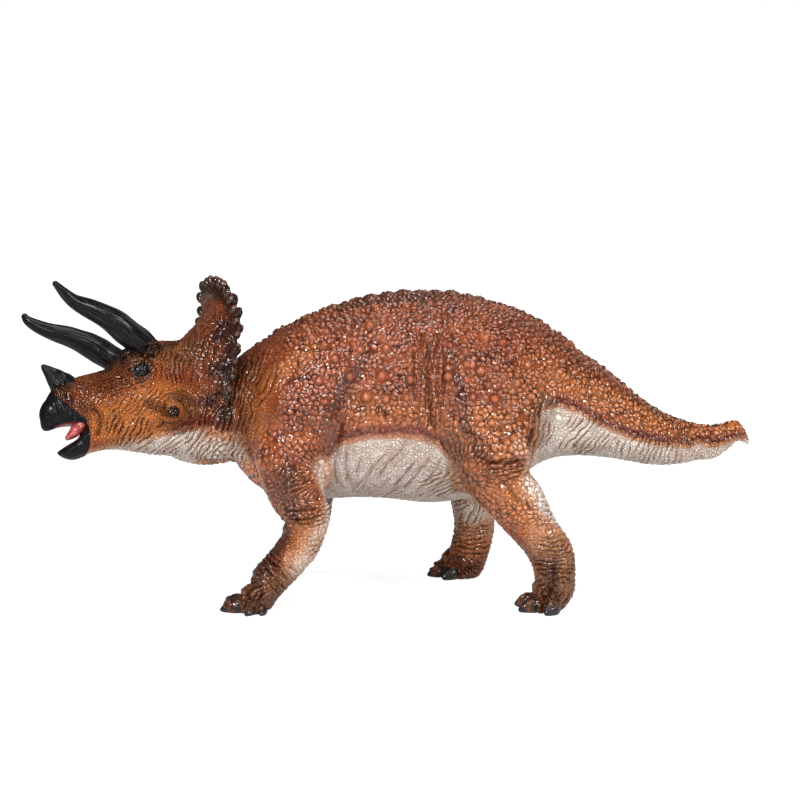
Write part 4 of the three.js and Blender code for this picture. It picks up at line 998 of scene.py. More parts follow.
# washes: what the brush went over by hand, and painted shade under the tail and the throat and in the crook
# of the elbow, each a stroke through pixels with a radius
WASHES = {
    # by colour and part: radius in millimetres, strength, and the stroke
    ("pale", "hind"): [
        (3.4, 1.0, [(533, 484), (548, 508), (566, 534)]),
    ],
    ("pale", "front"): [
        (2.4, 0.9, [(321, 468), (326, 492), (328, 514)]),
        (3.6, 0.85, [(325, 530), (315, 552), (300, 572), (288, 588)]),
    ],
    ("pale", "body"): [
        (2.0, 0.5, [(520, 446), (527, 462)]), (4.5, 1.0, [(205, 450), (232, 452)]),
    ],
    ("olive", "body"): [
        # The first stroke here is painted shade along the underside of the tail.
        (4.5, 0.2, [(560, 452), (640, 460), (700, 455)]), (4.5, 0.35, [(246, 372), (243, 430)]),
        (3.0, 0.45, [(454, 440), (460, 480)]), (3.0, 0.5, [(545, 405), (535, 445)]),
    ],
    ("olive", "head"): [
        # The first stroke here is painted shade along the underside of the throat.
        (6.0, 0.18, [(120, 450), (215, 455)]), (4.0, 0.5, [(155, 345), (185, 352)]),
    ],
    ("gold", "hind"): [
        (4.0, 0.8, [(520, 484), (535, 520), (552, 540)]), (4.0, 0.8, [(562, 545), (566, 556)]),
        (4.0, 0.8, [(484, 520), (484, 536)]), (7.0, 0.5, [(488, 430), (494, 470), (505, 500)]),
    ],
    ("gold", "front"): [
        (4.5, 0.7, [(246, 470), (256, 486)]), (3.5, 0.35, [(308, 488), (312, 512)]),
        (3.2, 0.6, [(312, 528), (296, 548)]),
    ],
    ("gold", "body"): [
        (5.5, 0.3, [(366, 418), (420, 415)]), (3.0, 0.45, [(308, 350), (268, 385), (258, 425)]),
        (6.0, 0.35, [(520, 400), (540, 370)]),
        (4.5, 0.6, [(570, 385), (610, 402), (660, 426), (730, 430)]),
    ],
    ("gold", "head"): [
        (6.0, 0.8, [(112, 424), (150, 420)]), (5.0, 0.7, [(150, 398), (180, 405)]),
    ],
    ("olive", "front"): [
        # Painted shade in the crook of the elbow.
        (4.5, 0.2, [(280, 482), (290, 515)]),
    ],
    ("olive", "hind"): [
        (5.0, 0.6, [(558, 560), (558, 585)]),
    ],
    ("umber", "body"): [
        (2.2, 0.45, [(331, 412), (330, 450)]), (3.2, 0.8, [(343, 307), (380, 298), (418, 296)]),
        (2.4, 0.5, [(262, 345), (300, 322), (345, 302)]),
        (2.4, 0.45, [(430, 296), (520, 318), (590, 366)]),
        (1.8, 0.5, [(590, 366), (640, 402), (690, 424)]),
    ],
    ("umber", "front"): [
        # The first stroke here is painted shade in the crook of the elbow.
        (2.4, 0.6, [(287, 478), (292, 512)]), (3.2, 0.9, [(284, 530), (268, 556), (256, 575)]),
    ],
    ("umber", "head"): [
        (4.0, 0.55, [(75, 385), (100, 378), (128, 366)]), (2.0, 0.7, [(95, 376), (125, 369)]),
        (6.0, 0.5, [(205, 300), (208, 340), (205, 375)]), (3.0, 0.6, [(62, 398), (80, 408)]),
        (2.5, 0.7, [(179, 398), (196, 410)]), (1.8, 0.6, [(150, 404), (166, 414)]),
        (2.0, 0.5, [(168, 424), (176, 428)]),
    ],
    ("umber", "hind"): [
        (1.6, 0.8, [(553, 566), (552, 590)]),
    ],
    ("stain", "head"): [
        (1.8, 0.9, [(55, 392), (66, 400)]), (1.6, 1.0, [(222, 326), (218, 336)]),
        (1.7, 1.0, [(226, 366), (212, 371)]), (1.9, 1.0, [(226, 396), (208, 401)]),
    ],
    ("ink", "head"): [
        (2.8, 1.0, [(143, 350), (150, 342), (158, 338)]), (1.8, 0.8, [(156, 338), (174, 342)]),
        (2.4, 0.95, [(107, 369), (115, 361), (124, 354), (133, 348)]),
    ],
    ("stain", "body"): [
        (1.8, 0.45, [(366, 356), (352, 376), (342, 394)]), (1.6, 0.6, [(342, 386), (338, 404)]),
        (1.2, 0.6, [(452, 355), (460, 390), (466, 430)]), (1.2, 0.6, [(470, 430), (478, 455)]),
    ],
    ("stain", "hind"): [
        (2.0, 0.4, [(480, 440), (492, 470)]),
    ],
}
washes = {name: np.zeros(len(points)) for name in ("pale", "gold", "olive", "umber", "stain", "ink")}


def wash(colour, amount):
    """Adds a wash over the whole hide, where it is stronger than what is there."""
    washes[colour] = np.maximum(washes[colour], amount)


for (colour, part), strokes in WASHES.items():
    for radius, strength, pixels in strokes:
        for path in both_sides(pixels, part):
            near, gap, along = from_path(path, points, 2 * radius)
            share = strength * step(1.5 * radius, 0.55 * radius, gap + 0.3 * radius * wander[near])
            washes[colour][near] = np.maximum(washes[colour][near], share)
inside = step(18.5, 16.5, np.abs(Y)) * hindleg
feet = np.maximum(hindleg * step(20, 11, Z + wander), foreleg * step(12, 7, Z + wander))
wash("gold", 0.7 * inside * step(21, 15, Z + wander) * step(5, 9, Z))
wash("olive", 0.55 * feet * (1 - 0.7 * inside))
wash("umber", 0.6 * step(8, 2, Z + wander))
wash("umber", 0.5 * in_head_part * step(14, 26, up))
wash("umber", 0.3 * step(16, 7, np.abs(Y)) * step(50, 62, Z) * (1 - in_head_part))
low_down = np.maximum(hindleg * step(17, 11, Z + wander) * (1 - 0.45 * inside), step(9, 5, Z))
washes["pale"] = np.maximum(pale, washes["pale"]) * (1 - low_down)

# ink: near black on the frill's rim, the cheek horns, round the eyes and the horns' seats
rim = step(14.2, 16.6, from_frill_middle(left, up) + 0.8 * wander) * step(8, 5, ahead) * step(-6, -3, ahead)
wash("ink", 0.9 * rim * step(-9, -5, up) * step(0.4, 0.7, limbs[:, 2]))
INK_SPOTS = [
    # ahead, left and up from the head's pivot, and how far the ink reaches: it is the same on both sides
    ((18.2, 14.8, -4.6), 2.0), ((23.4, 9.4, 7.3), 2.7), ((22, 7.8, 13.4), 4.2), ((26, 8.6, 14.4), 4.0),
    ((41, 0, 5.6), 4.2),
]
for middle_at, reach in INK_SPOTS:
    for side in (1, -1):
        gap_to = np.linalg.norm(head_places(points) - np.array(middle_at) * (1, side, 1), axis=1)
        wash("ink", step(reach, reach * 0.7, gap_to + 0.4 * wander))
keep(mesh, "crease", crease)
for name, amount in washes.items():
    keep(mesh, name, amount)

CLAWS = {
    # ahead, outward and up from the sole's middle, turn outward in degrees, half the length, width and height
    "front": [(3.0, 1.2, 1.4, 10, 4.0, 2.7, 2.2), (3.4, -2.2, 1.6, -22, 3.4, 2.0, 2.1),
              (-0.6, 4.8, 0.9, 66, 2.3, 1.4, 1.4), (-3.6, 5.2, 1.0, 85, 1.75, 1.2, 1.3)],
    "hind": [(3.9, -2.2, 1.7, -20, 3.3, 1.7, 2.2), (3.0, 1.5, 1.5, 20, 3.6, 2.1, 2.2),
             (-1.6, 4.6, 1.5, 52, 3.0, 1.8, 2.1)],
    "hind_right": [(3.9, -1.0, 1.4, -12, 3.3, 1.9, 1.9), (1.0, -4.0, 1.7, -50, 3.4, 2.2, 2.3),
                   (2.0, 4.6, 1.4, 40, 3.0, 1.8, 1.9)],
}


def claws_of(foot):
    """Each claw of a foot: its middle, how it is turned, and half its length, width and height."""
    (x, y), side, kind = foot
    for ahead, out, up, turn, *half in CLAWS[kind]:
        turned = Matrix.Rotation(math.pi - side * math.radians(turn), 3, "Z")
        yield Vector((x - ahead, y + side * out, up)), turned, half


# The corner of each sole is drawn in, and the outer toe with it.
TOE_BACK = {"front": 2.8, "hind": 2.4, "hind_right": 2.4}
for (x, y), side, kind in FEET:
    nudge(points, (x - 3.1, y + side * 6.6, 1.6), (4, 3, 4), (TOE_BACK[kind], -0.7 * side, 0))

# The flesh gives way to the claws: what would stand in front of one is drawn back into it.
for foot in FEET:
    for centre, turn, (length, width, height) in claws_of(foot):
        u, v, w = ((points - np.array(centre)) @ np.array(turn)).T
        within = 1 - (v / width) ** 2 - (w / height) ** 2
        limit = 0.8 * length * np.sqrt(np.maximum(within, 0)) - 0.35 * length * (within < 0)
        beside = step(1.6, 1.15, np.abs(v) / width) * step(2.6, 1.6, w / height) * (u < 2 * length)
        back = np.minimum(limit - u, 0) * beside * (u > -length)
        points += np.outer(back, np.array(turn.col[0]))

TAIL_LIMIT = 92.1  # along X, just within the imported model's box
BEAK_INSET = 0.5  # how far the hide lies below the beak's sheaths
points[:, 2] = np.maximum(points[:, 2], 0)
points[:, 0] = np.minimum(points[:, 0], TAIL_LIMIT)
beak_push = step(0.1, 0.7, beak)
points = points - normals * (BEAK_INSET * beak_push)[:, None]
mesh.vertices.foreach_set("co", points.astype(np.float32).ravel())
mesh.update()


# The paint of the hide: an orange-brown ground, cream below, washes of brown and red, dark lines rubbed into
# every crevice that also paint its shade, and a pale dry brush on what stands out that also paints its
# highlights, under satin varnish that gives many small highlights.
PAINT_VALUES = ["pale", "gold", "olive", "umber", "stripe", "stain", "ink", "crease", "plated", "fine",
                "knob", "ring"]


def attribute(tree, name):
    """A number that the mesh holds under a name."""
    return Term(tree, [add_node(tree, "ShaderNodeAttribute", attribute_name=name).outputs["Fac"]])


def srgb(red, green, blue):
    """A colour given as it looks on screen, 0 to 255."""
    shares = (red / 255, green / 255, blue / 255)
    return tuple(((c + 0.055) / 1.055) ** 2.4 if c > 0.04 else c / 12.92 for c in shares) + (1,)


def new_paint(name):
    """An empty material, its tree and its object coordinates in millimetres."""
    made = bpy.data.materials.new(name)
    made.use_nodes = True
    tree = made.node_tree
    tree.nodes.clear()
    spot = add_node(tree, "ShaderNodeTexCoord").outputs["Object"]
    in_mm = add_node(tree, "ShaderNodeVectorMath", {0: spot, 1: (1 / MM,) * 3}, operation="MULTIPLY")
    return made, tree, in_mm


def noise(tree, spot, scale, detail=3.0):
    """Soft noise of a scale."""
    return Term(tree, add_node(tree, "ShaderNodeTexNoise", {
        "Vector": spot, "Scale": scale, "Detail": detail, "Roughness": 0.55}).outputs)


def patches_of(tree, spot, scale, low, high, detail=3.0, least=0.0, most=1.0):
    """Soft patches: noise of a scale, carried from between low and high to between least and most."""
    return ramped(tree, noise(tree, spot, scale, detail), low, high, least, most)


def end_paint(tree, colour, height, strength, depth, surface):
    """Closes a paint: a colour under varnish over a bump, with the surface's other inputs by name."""
    bump = add_node(tree, "ShaderNodeBump", {"Strength": strength, "Distance": depth, "Height": height})
    coat = add_node(tree, "ShaderNodeBsdfPrincipled", {"Base Color": colour, "Normal": bump, **surface})
    add_node(tree, "ShaderNodeOutputMaterial", {"Surface": coat})


hide_paint, tree, spot = new_paint("painted_hide")
on = {name: attribute(tree, name) for name in PAINT_VALUES}
ground = mixed(tree, patches_of(tree, spot, 0.09, 0.3, 0.7), srgb(140, 64, 34), srgb(174, 90, 47))
ground = mixed(tree, patches_of(tree, spot, 0.5, 0.45, 0.75, 4, 0, 0.5), ground, srgb(124, 54, 30))
cream = mixed(tree, patches_of(tree, spot, 0.2, 0.3, 0.7), srgb(226, 206, 190), srgb(246, 236, 226))
fringe = 2.8 * ((1 - on["pale"]) * on["pale"])
for share, colour in (
        # what the brush laid over the ground, from the first wash to the last
        (on["gold"], srgb(200, 120, 62)), (on["pale"], cream), (fringe, srgb(200, 122, 60)),
        (on["stripe"], srgb(106, 36, 20)), (on["olive"], srgb(128, 92, 56)), (on["umber"], srgb(78, 44, 28)),
        (on["stain"], srgb(62, 28, 24)), (on["ink"], srgb(20, 14, 13))):
    ground = mixed(tree, share, ground, colour)

# The gaps between scales, the rings of the tubercles and the creases are painted dark, which also paints
# their shade; the tops are dry-brushed paler, which also paints their highlights.
bare = 1 - on["knob"].at_least(on["ring"])
fine_tops = pebble_tops(tree, spot, FINE_SIZE)
coarse_tops = mixed(tree, on["plated"], pebble_tops(tree, spot, PEBBLE_SIZE),
                    pebble_tops(tree, spot, PLATE_SIZE), "FLOAT")
tops = mixed(tree, on["fine"], coarse_tops, fine_tops, "FLOAT") * bare
gaps = (ramped(tree, tops, 0.64, 0.06) * (1 - 0.5 * on["fine"]) * bare).at_least(on["ring"])
uneven = patches_of(tree, spot, 0.35, 0.3, 0.65, 3, 0.35, 0.95) * (1 - 0.5 * on["stripe"])
lines = ramped(tree, on["crease"], 0.2 * on["pale"] + 0.35, 0.95)
# The colour of the gaps, rings and creases: a dark brown wash, lighter on the cream, that also paints their
# shade.
dark = mixed(tree, on["pale"], srgb(46, 17, 10), srgb(124, 72, 44))
ground = mixed(tree, (gaps * uneven).at_least(0.9 * lines), ground, dark)
# The dry brush: a paler paint on the tops of the pebbles and tubercles, which also paints their highlights.
high = ramped(tree, tops, 0.6, 1.0).at_least(0.1 * on["knob"])
dry_brush_and_highlight = mixed(tree, on["pale"], srgb(214, 150, 98), srgb(250, 244, 238))
ground = mixed(tree, 0.2 * high, ground, dry_brush_and_highlight)
grain = (1 - 0.9 * on["knob"]) * (0.3 * fine_tops + 0.36 * noise(tree, spot, 3.0))
relief = grain + tops - 0.9 * ramped(tree, on["crease"], 0.1, 1.0)
shut = (ramped(tree, tops, 0.22, 0.02).at_least(lines) * bare).at_least(on["ring"])
gloss = 1 - 0.92 * shut.at_least(0.88 * on["fine"])
end_paint(tree, ground, relief, 1.0, 0.0005, {
    "Coat Roughness": 0.09, "Coat IOR": 1.6, "Coat Weight": 0.85 * gloss, "Specular IOR Level": 0.2 * gloss,
    "Roughness": patches_of(tree, spot, 2.2, 0.3, 0.7, 2, 0.24, 0.42)})

grown = grow(hide, scales, {"Material": hide_paint, "Tubercle Seats": tubercle_seats})
bpy.data.objects.remove(tubercle_seats)
bpy.data.objects.remove(hide)


# The mouldings: the hide divided where the mouldings are bonded, each piece closed by a wall behind the skin.
COLLAR = 0.9  # how deep the wall goes


def closed_piece(points, normals, quads):
    """The quads' own points, with each open border carried inwards and closed to a point behind it."""
    used, faces = np.unique(quads, return_inverse=True)
    faces = faces.reshape(-1, 4)
    places = points[used]
    facings = normals[used]
    ends = np.stack([faces, np.roll(faces, -1, 1)], -1).reshape(-1, 2)
    keys = ends[:, 0] * len(used) + ends[:, 1]
    opposite = ends[:, 1] * len(used) + ends[:, 0]
    open_ends = ends[~np.isin(keys, opposite)]
    border = np.unique(open_ends)
    inner = np.full(len(used), -1)
    inner[border] = len(used) + np.arange(len(border))
    behind = places[border] - facings[border] * COLLAR
    a, b = open_ends.T
    walls = np.stack([b, a, inner[a], inner[b]], 1)
    label = skins_of(len(used), open_ends)[border]
    loops, loop_of = np.unique(label, return_inverse=True)
    centres = np.array([behind[loop_of == k].mean(0) for k in range(len(loops))]).reshape(-1, 3)
    hub = np.full(len(used), -1)
    hub[border] = len(used) + len(border) + loop_of
    fans = np.stack([inner[b], inner[a], hub[a]], 1)
    every_place = np.concatenate([places, behind, centres])
    every_facing = np.concatenate([facings, -facings[border], np.tile([0.0, 0.0, 1.0], (len(loops), 1))])
    return every_place, every_facing, np.concatenate([faces, walls]), fans, used


def finished(name, mesh, material, nodes=()):
    """An object of a mesh in metres, painted and handed over under its name."""
    mesh.materials.clear()
    mesh.materials.append(material)
    made = bpy.data.objects.new(name, mesh)
    scene.collection.objects.link(made)
    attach(made, "root")
    if nodes:
        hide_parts(*nodes)
    return made

skin_points, skin_quads = arrays_of(grown)
skin_points[:, 2] = np.maximum(skin_points[:, 2], 0)
skin_normals = normals_of(grown)
values = {}
for name in PAINT_VALUES:
    held_values = np.empty(len(grown.vertices), np.float32)
    grown.attributes[name].data.foreach_get("value", held_values)
    values[name] = held_values
for number, node in enumerate(SKIN_NODES):
    chosen = skin_quads[face_node == number]
    places, facings, faces, fans, used = closed_piece(skin_points, skin_normals, chosen)
    piece = new_mesh(node + "_hide", places * MM, faces, fans)
    for name in PAINT_VALUES:
        keep(piece, name, np.concatenate([values[name][used], np.zeros(len(places) - len(used))]))
    piece.normals_split_custom_set_from_vertices(facings.tolist())
    finished(node + "_hide", piece, hide_paint, [node])


# The beak: dark glossy sheaths over both jaws, with short upright ridges along the upper one's rear edge.
# On the real figure they are part of the head's and the jaw's mouldings, painted near black.
beak_paint, tree, spot = new_paint("dark_horn")
tone = mixed(tree, patches_of(tree, spot, 0.8, 0.35, 0.75, 4), srgb(9, 8, 11), srgb(20, 18, 22))
tone = mixed(tree, attribute(tree, "gum"), tone, srgb(116, 48, 48))
# A painted highlight: pale grey laid on the crests of the horns' ridges and the beak's tooth ridges.
tone = mixed(tree, ramped(tree, attribute(tree, "relief"), 0.66, 1.0, 0, 0.26), tone, srgb(124, 118, 118))
end_paint(tree, tone, noise(tree, spot, 2.0), 0.25, 0.0002, {
    "Specular IOR Level": 0.08, "Coat Weight": 0.1, "Coat Roughness": 0.1,
    "Roughness": patches_of(tree, spot, 1.3, 0.3, 0.7, 2, 0.28, 0.45)})

MOUTH_LEVEL = -4.6  # up from the head's pivot, where the two sheaths meet behind the mouth
TOOTH_SPACING = 1.05
beak_faces = (beak[quads] > -0.5).all(1) & (ahead[quads] > 30).all(1)
rise = 0.45 * step(-0.45, 0.35, beak) - 0.3
facing_up = normals @ np.array(HEAD_UP)
gum = np.where(up > MOUTH_LEVEL + 0.2, step(0.75, 0.95, -facing_up), step(0.6, 0.9, facing_up))
gum = gum * step(45, 43, ahead) * step(-11, -10, up) * step(-1, -2.5, up) * step(4.6, 3.6, np.abs(left))
teeth = 0.5 + 0.5 * np.sin(2 * math.pi * (ahead - 0.25 * up) / TOOTH_SPACING)
tooth_row = np.exp(-(((beak - 1.7) / 1.25) ** 2)) * step(44.5, 42.5, ahead) * step(-5, -4, up) * (1 - gum)
knots = waviness(points, 1.7)
form = 0.4 * teeth * tooth_row + 0.07 * knots * (1 - gum)
for name, is_upper in (("upper_beak", True), ("lower_beak", False)):
    level = up[quads].mean(1) > MOUTH_LEVEL
    chosen = quads[beak_faces & (level == is_upper)]
    sheath = points + normals * (BEAK_INSET * beak_push + rise + form)[:, None]
    places, facings, faces, fans, used = closed_piece(sheath, normals, chosen)
    piece = new_mesh(name, places * MM, faces, fans)
    spare = np.zeros(len(places) - len(used))
    keep(piece, "gum", np.concatenate([gum[used], spare]))
    # Where the tooth ridges stand out, for the paint's painted highlight on their crests.
    keep(piece, "relief", np.concatenate([(teeth * tooth_row)[used], spare]))
    finished(name, piece, beak_paint)


# The horns: two long brow horns that turn up at their tips and a short one on the nose, of solid vinyl.
# They are painted black and plugged into the head. Each is drawn through a line of places with a thickness at
# each, and has fine ridges along it.
def horn_mesh(name, stations, sides, rings, ridge, flatten=1.0):
    """A tapered tube through stations of place and diameter, closed at both ends, with lengthwise ridges."""
    line = smooth_path([in_head(*place) for place, diameter in stations])
    line = np.array([list(place) for place in line])
    along = np.concatenate([[0], np.cumsum(np.linalg.norm(np.diff(line, axis=0), axis=1))])
    along /= along[-1]
    given_at = np.linspace(0, 1, len(stations))
    at_line = np.linspace(0, 1, len(line))
    share = 1 - (1 - np.linspace(0, 1, rings)) ** 1.25
    middle = np.stack([np.interp(share, along, line[:, k]) for k in range(3)], 1)
    diameter = np.interp(np.interp(share, along, at_line), given_at, [d for place, d in stations])
    tangent = np.gradient(middle, axis=0)
    tangent /= np.linalg.norm(tangent, axis=1)[:, None]
    side_way = np.cross(tangent, np.array(HEAD_UP))
    side_way /= np.linalg.norm(side_way, axis=1)[:, None]
    up_way = np.cross(side_way, tangent)
    turn = np.linspace(0, 2 * math.pi, sides, endpoint=False)
    t, s = np.meshgrid(turn, share)
    wave = 0.5 * np.sin(9 * t + 3 * s) + 0.35 * np.sin(17 * t - 4 * s + 1.3)
    wave += 0.3 * np.sin(29 * t + 2.1 + 5 * s)
    wave = -np.abs(wave) * (0.4 + 0.6 * np.sin(5 * t + 7 * s) ** 2)
    radius = diameter[:, None] / 2 * (1 + 0.02 * np.sin(23 * s + 2 * np.sin(2 * t)))
    radius += ridge * wave * step(0.95, 0.5, s)
    around = np.cos(t)[..., None] * side_way[:, None] * flatten + np.sin(t)[..., None] * up_way[:, None]
    places = (middle[:, None] + radius[..., None] * around).reshape(-1, 3)
    k = np.arange(rings - 1)[:, None] * sides
    j = np.arange(sides)
    n = (j + 1) % sides
    quads = np.stack([k + j, k + n, k + sides + n, k + sides + j], -1).reshape(-1, 4)
    ends = np.array([middle[0], middle[-1] + tangent[-1] * diameter[-1] * 0.3])
    first = len(places)
    top = (rings - 1) * sides
    fans = np.concatenate([np.stack([n, j, np.full(sides, first)], 1),
                           np.stack([top + j, top + n, np.full(sides, first + 1)], 1)])
    made = new_mesh(name, np.concatenate([places, ends]) * MM, quads, fans)
    keep(made, "gum", np.zeros(len(made.vertices)))
    # Where the ridges stand out, for the paint's painted highlight on their crests.
    keep(made, "relief", np.concatenate([(0.94 + 2.2 * wave).ravel(), [0, 0]]))
    return made


BROW_HORN_LEFT = [
    ((19.0, 7.2, 11.2), 5.0), ((23.2, 8.6, 14.4), 6.9), ((26.7, 9.7, 16.9), 6.9), ((29.4, 10.6, 19.1), 6.3),
    ((32.8, 11.6, 20.9), 5.6), ((36.3, 12.6, 22.4), 4.7), ((39.5, 13.5, 23.8), 3.6),
    ((41.8, 14.3, 25.6), 2.7), ((44.3, 15.3, 28.1), 1.3),
]
BROW_HORN_RIGHT = [
    ((21.0, -7.2, 10.6), 5.0), ((25.7, -8.6, 13.8), 6.6), ((28.8, -9.6, 16.3), 6.8),
    ((31.7, -10.5, 18.4), 6.3), ((35.6, -11.7, 20.7), 5.2), ((39.6, -12.7, 22.3), 4.3),
    ((42.8, -13.6, 24.0), 3.4), ((45.2, -14.3, 25.8), 2.4), ((46.0, -14.8, 27.4), 1.5),
]
NOSE_HORN = [
    ((39.8, 0, 3.0), 7.2), ((40.6, 0, 5.4), 7.6), ((42.1, 0, 7.4), 5.8), ((43.9, 0, 9.4), 3.5),
    ((45.6, 0, 11.2), 1.2),
]
HORN_SIDES = 96
HORN_RINGS = 130
HORN_RIDGES = 0.2
NOSE_FLATNESS = 0.72
for name, stations, flatten in (("brow_horn_left", BROW_HORN_LEFT, 1),
                                ("brow_horn_right", BROW_HORN_RIGHT, 1),
                                ("nose_horn", NOSE_HORN, NOSE_FLATNESS)):
    horn = horn_mesh(name, stations, HORN_SIDES, HORN_RINGS, HORN_RIDGES, flatten)
    finished(name + "_horn", horn, beak_paint, [name])


# The eyes: glossy black beads with a grainy surface, set in wrinkled lids.
# On the real figure they are bumps of the head's moulding, painted and varnished.
EYE_PIXEL = (141.5, 369.7)
EYE_RADIUS = 1.85
EYE_GRAIN = 0.11  # of its radius


def bead(name, centre):
    """A ball with a grainy surface."""
    shape = bmesh.new()
    bmesh.ops.create_icosphere(shape, subdivisions=5, radius=1)
    for vert in shape.verts:
        x, y, z = vert.co * 9
        grain_at = math.sin(x + 2) * math.sin(y + 1) * math.sin(z)
        grain_at += 0.5 * math.sin(1.7 * x) * math.sin(1.6 * z + 1)
        vert.co = (centre + vert.co * (EYE_RADIUS * (1 + EYE_GRAIN * grain_at))) * MM
    return from_bmesh(name, shape)


eye_paint, tree, spot = new_paint("black_eye")
end_paint(tree, srgb(6, 5, 6), pebble_tops(tree, spot, 0.6), 0.3, 0.0002, {
    "Roughness": 0.3, "Specular IOR Level": 0.05, "Coat Weight": 0.8, "Coat Roughness": 0.04})
eye_place = on_skin(*EYE_PIXEL)
eyes = {
    # name: its place on the hide, which way it faces and how deep its middle lies
    "eye_left": (eye_place, HEAD_LEFT, 1.1),
    "eye_right": (other_side(eye_place, "head"), -HEAD_LEFT, 0.5),
}
for name, (place, outward, depth) in eyes.items():
    finished(name, bead(name, place - outward * depth), eye_paint)


# The tongue: a pink wedge on the floor of the mouth, in soft vinyl painted by hand.
# It is bonded under the upper beak's rear end and runs forward and down to the lower beak.
TONGUE = [((35.0, 0.5, -1.8), 3.4), ((37.6, 0.7, -3.7), 3.3), ((39.6, 0.9, -5.8), 2.7),
          ((41.6, 1.0, -7.2), 1.1)]
TONGUE_SIDES = 40
TONGUE_RINGS = 40
TONGUE_SPREAD = 1.5
flesh_paint, tree, spot = new_paint("mouth_pink")
flesh = mixed(tree, patches_of(tree, spot, 0.9, 0.3, 0.7), srgb(128, 46, 46), srgb(182, 84, 78))
end_paint(tree, flesh, noise(tree, spot, 2.0), 0.3, 0.0002, {
    "Roughness": 0.3, "Coat Weight": 0.4, "Coat Roughness": 0.1})
tongue = horn_mesh("tongue", TONGUE, TONGUE_SIDES, TONGUE_RINGS, 0.0, TONGUE_SPREAD)
finished("tongue_flesh", tongue, flesh_paint, ["tongue"])


# The claws: blunt hooves of dark vinyl that stand out of the ends of the toes, three or four to a foot.
# On the real figure they are moulded with the legs and painted dark brown, worn lighter in places.
def claw_mesh(name, foot):
    """The claws of a foot: beads drawn out to a low blunt point, flat below."""
    shape = bmesh.new()
    for centre, turn, (length, width, height) in claws_of(foot):
        made = bmesh.ops.create_icosphere(shape, subdivisions=4, radius=1)
        for vert in made["verts"]:
            u, v, w = vert.co
            front = min(max(0, u), 1)
            taper = 0.3 + 0.7 * (1 - front) ** 0.25 / (1 + front) ** 0.5
            streak = 1 + 0.03 * math.sin(14 * v + 3 * u)
            place = Vector((u * length, v * taper * width * streak,
                            (w * taper - 0.4 * front ** 2) * height * streak))
            vert.co = (turn @ place + centre) * MM
            vert.co.z = max(vert.co.z, 0.02 * MM)
    return from_bmesh(name, shape)


claw_paint, tree, spot = new_paint("claw_brown")
tone = mixed(tree, patches_of(tree, spot, 0.2, 0.52, 0.68), srgb(14, 10, 10), srgb(92, 62, 46))
tone = mixed(tree, patches_of(tree, spot, 1.6, 0.5, 0.75, 4), tone, srgb(12, 8, 8))
end_paint(tree, tone, noise(tree, spot, 2.0, 4), 0.5, 0.0003, {
    "Specular IOR Level": 0.3, "Coat Weight": 0.35, "Coat Roughness": 0.12,
    "Roughness": patches_of(tree, spot, 1.3, 0.3, 0.7, 2, 0.28, 0.5)})
for foot in FEET:
    place, side, kind = foot
    name = kind.split("_")[0] + "_claws_" + ("left" if side < 0 else "right")
    finished(name, claw_mesh(name, foot), claw_paint)


# The frill's knobs: a rim of pointed lumps, dark brown, moulded with the head.
# They, the scales of the eyelids and the plates of the ridge are lumps set along a line by one tree, each
# turned to its own direction, with its own size; the plates also have a grainy surface.
lumps, given = new_tree("lumps along a line", {
    "Length": ("Float", 2.0),
    "Width": ("Float", 2.0),
    "Height": ("Float", 2.0),
    "Unevenness": ("Float", 0.2),
    "Grain": ("Float", 0.1),
    "Fineness": ("Int", 4),
    "Seed": ("Int", 3),
    "Material": ("Material", None),
})
LUMP_PEBBLE_SIZE = 0.9
ball = add_node(lumps, "GeometryNodeMeshIcoSphere", {"Radius": 0.5, "Subdivisions": given["Fineness"]})
uneven = add_node(lumps, "FunctionNodeRandomValue", {
    2: maths(lumps, "SUBTRACT", 1.0, given["Unevenness"]), 3: maths(lumps, "ADD", 1.0, given["Unevenness"]),
    "Seed": given["Seed"]}, data_type="FLOAT").outputs[1]
stretch = add_node(lumps, "ShaderNodeCombineXYZ", {0: given["Length"], 1: given["Width"], 2: given["Height"]})
sized = add_node(lumps, "ShaderNodeVectorMath", {0: stretch, "Scale": named(lumps, "size") * uneven},
                 operation="SCALE")
facing_out = add_node(lumps, "FunctionNodeAlignRotationToVector", {
    "Vector": named(lumps, "outward", "FLOAT_VECTOR")}, axis="Z")
turned = add_node(lumps, "FunctionNodeAlignRotationToVector", {
    "Rotation": facing_out, "Vector": named(lumps, "lengthwise", "FLOAT_VECTOR")}, axis="X", pivot_axis="Z")
placed = add_node(lumps, "GeometryNodeInstanceOnPoints", {
    "Points": given["Geometry"], "Instance": ball, "Rotation": turned, "Scale": sized})
real = add_node(lumps, "GeometryNodeRealizeInstances", {"Geometry": placed})
spot = add_node(lumps, "GeometryNodeInputPosition")
grains = (pebble_tops(lumps, spot, LUMP_PEBBLE_SIZE) - 0.5) * given["Grain"]
end_tree(lumps, raise_by(lumps, real, grains), given["Material"])


def lumps_on(name, seats, values):
    """The lumps grown on seats of place, direction along, direction outward and size, as a mesh in metres."""
    line = bpy.data.meshes.new(name)
    line.from_pydata([seat[0] for seat in seats], [], [])
    for label, column in (("lengthwise", 1), ("outward", 2)):
        given_ways = np.array([list(seat[column]) for seat in seats], np.float32).ravel()
        line.attributes.new(label, "FLOAT_VECTOR", "POINT").data.foreach_set("vector", given_ways)
    keep(line, "size", np.array([seat[3] for seat in seats]))
    holder = bpy.data.objects.new(name, line)
    scene.collection.objects.link(holder)
    grown = grow(holder, lumps, values)
    bpy.data.objects.remove(holder)
    grown.transform(Matrix.Scale(MM, 4))
    grown.polygons.foreach_set("use_smooth", np.ones(len(grown.polygons), bool))
    return grown


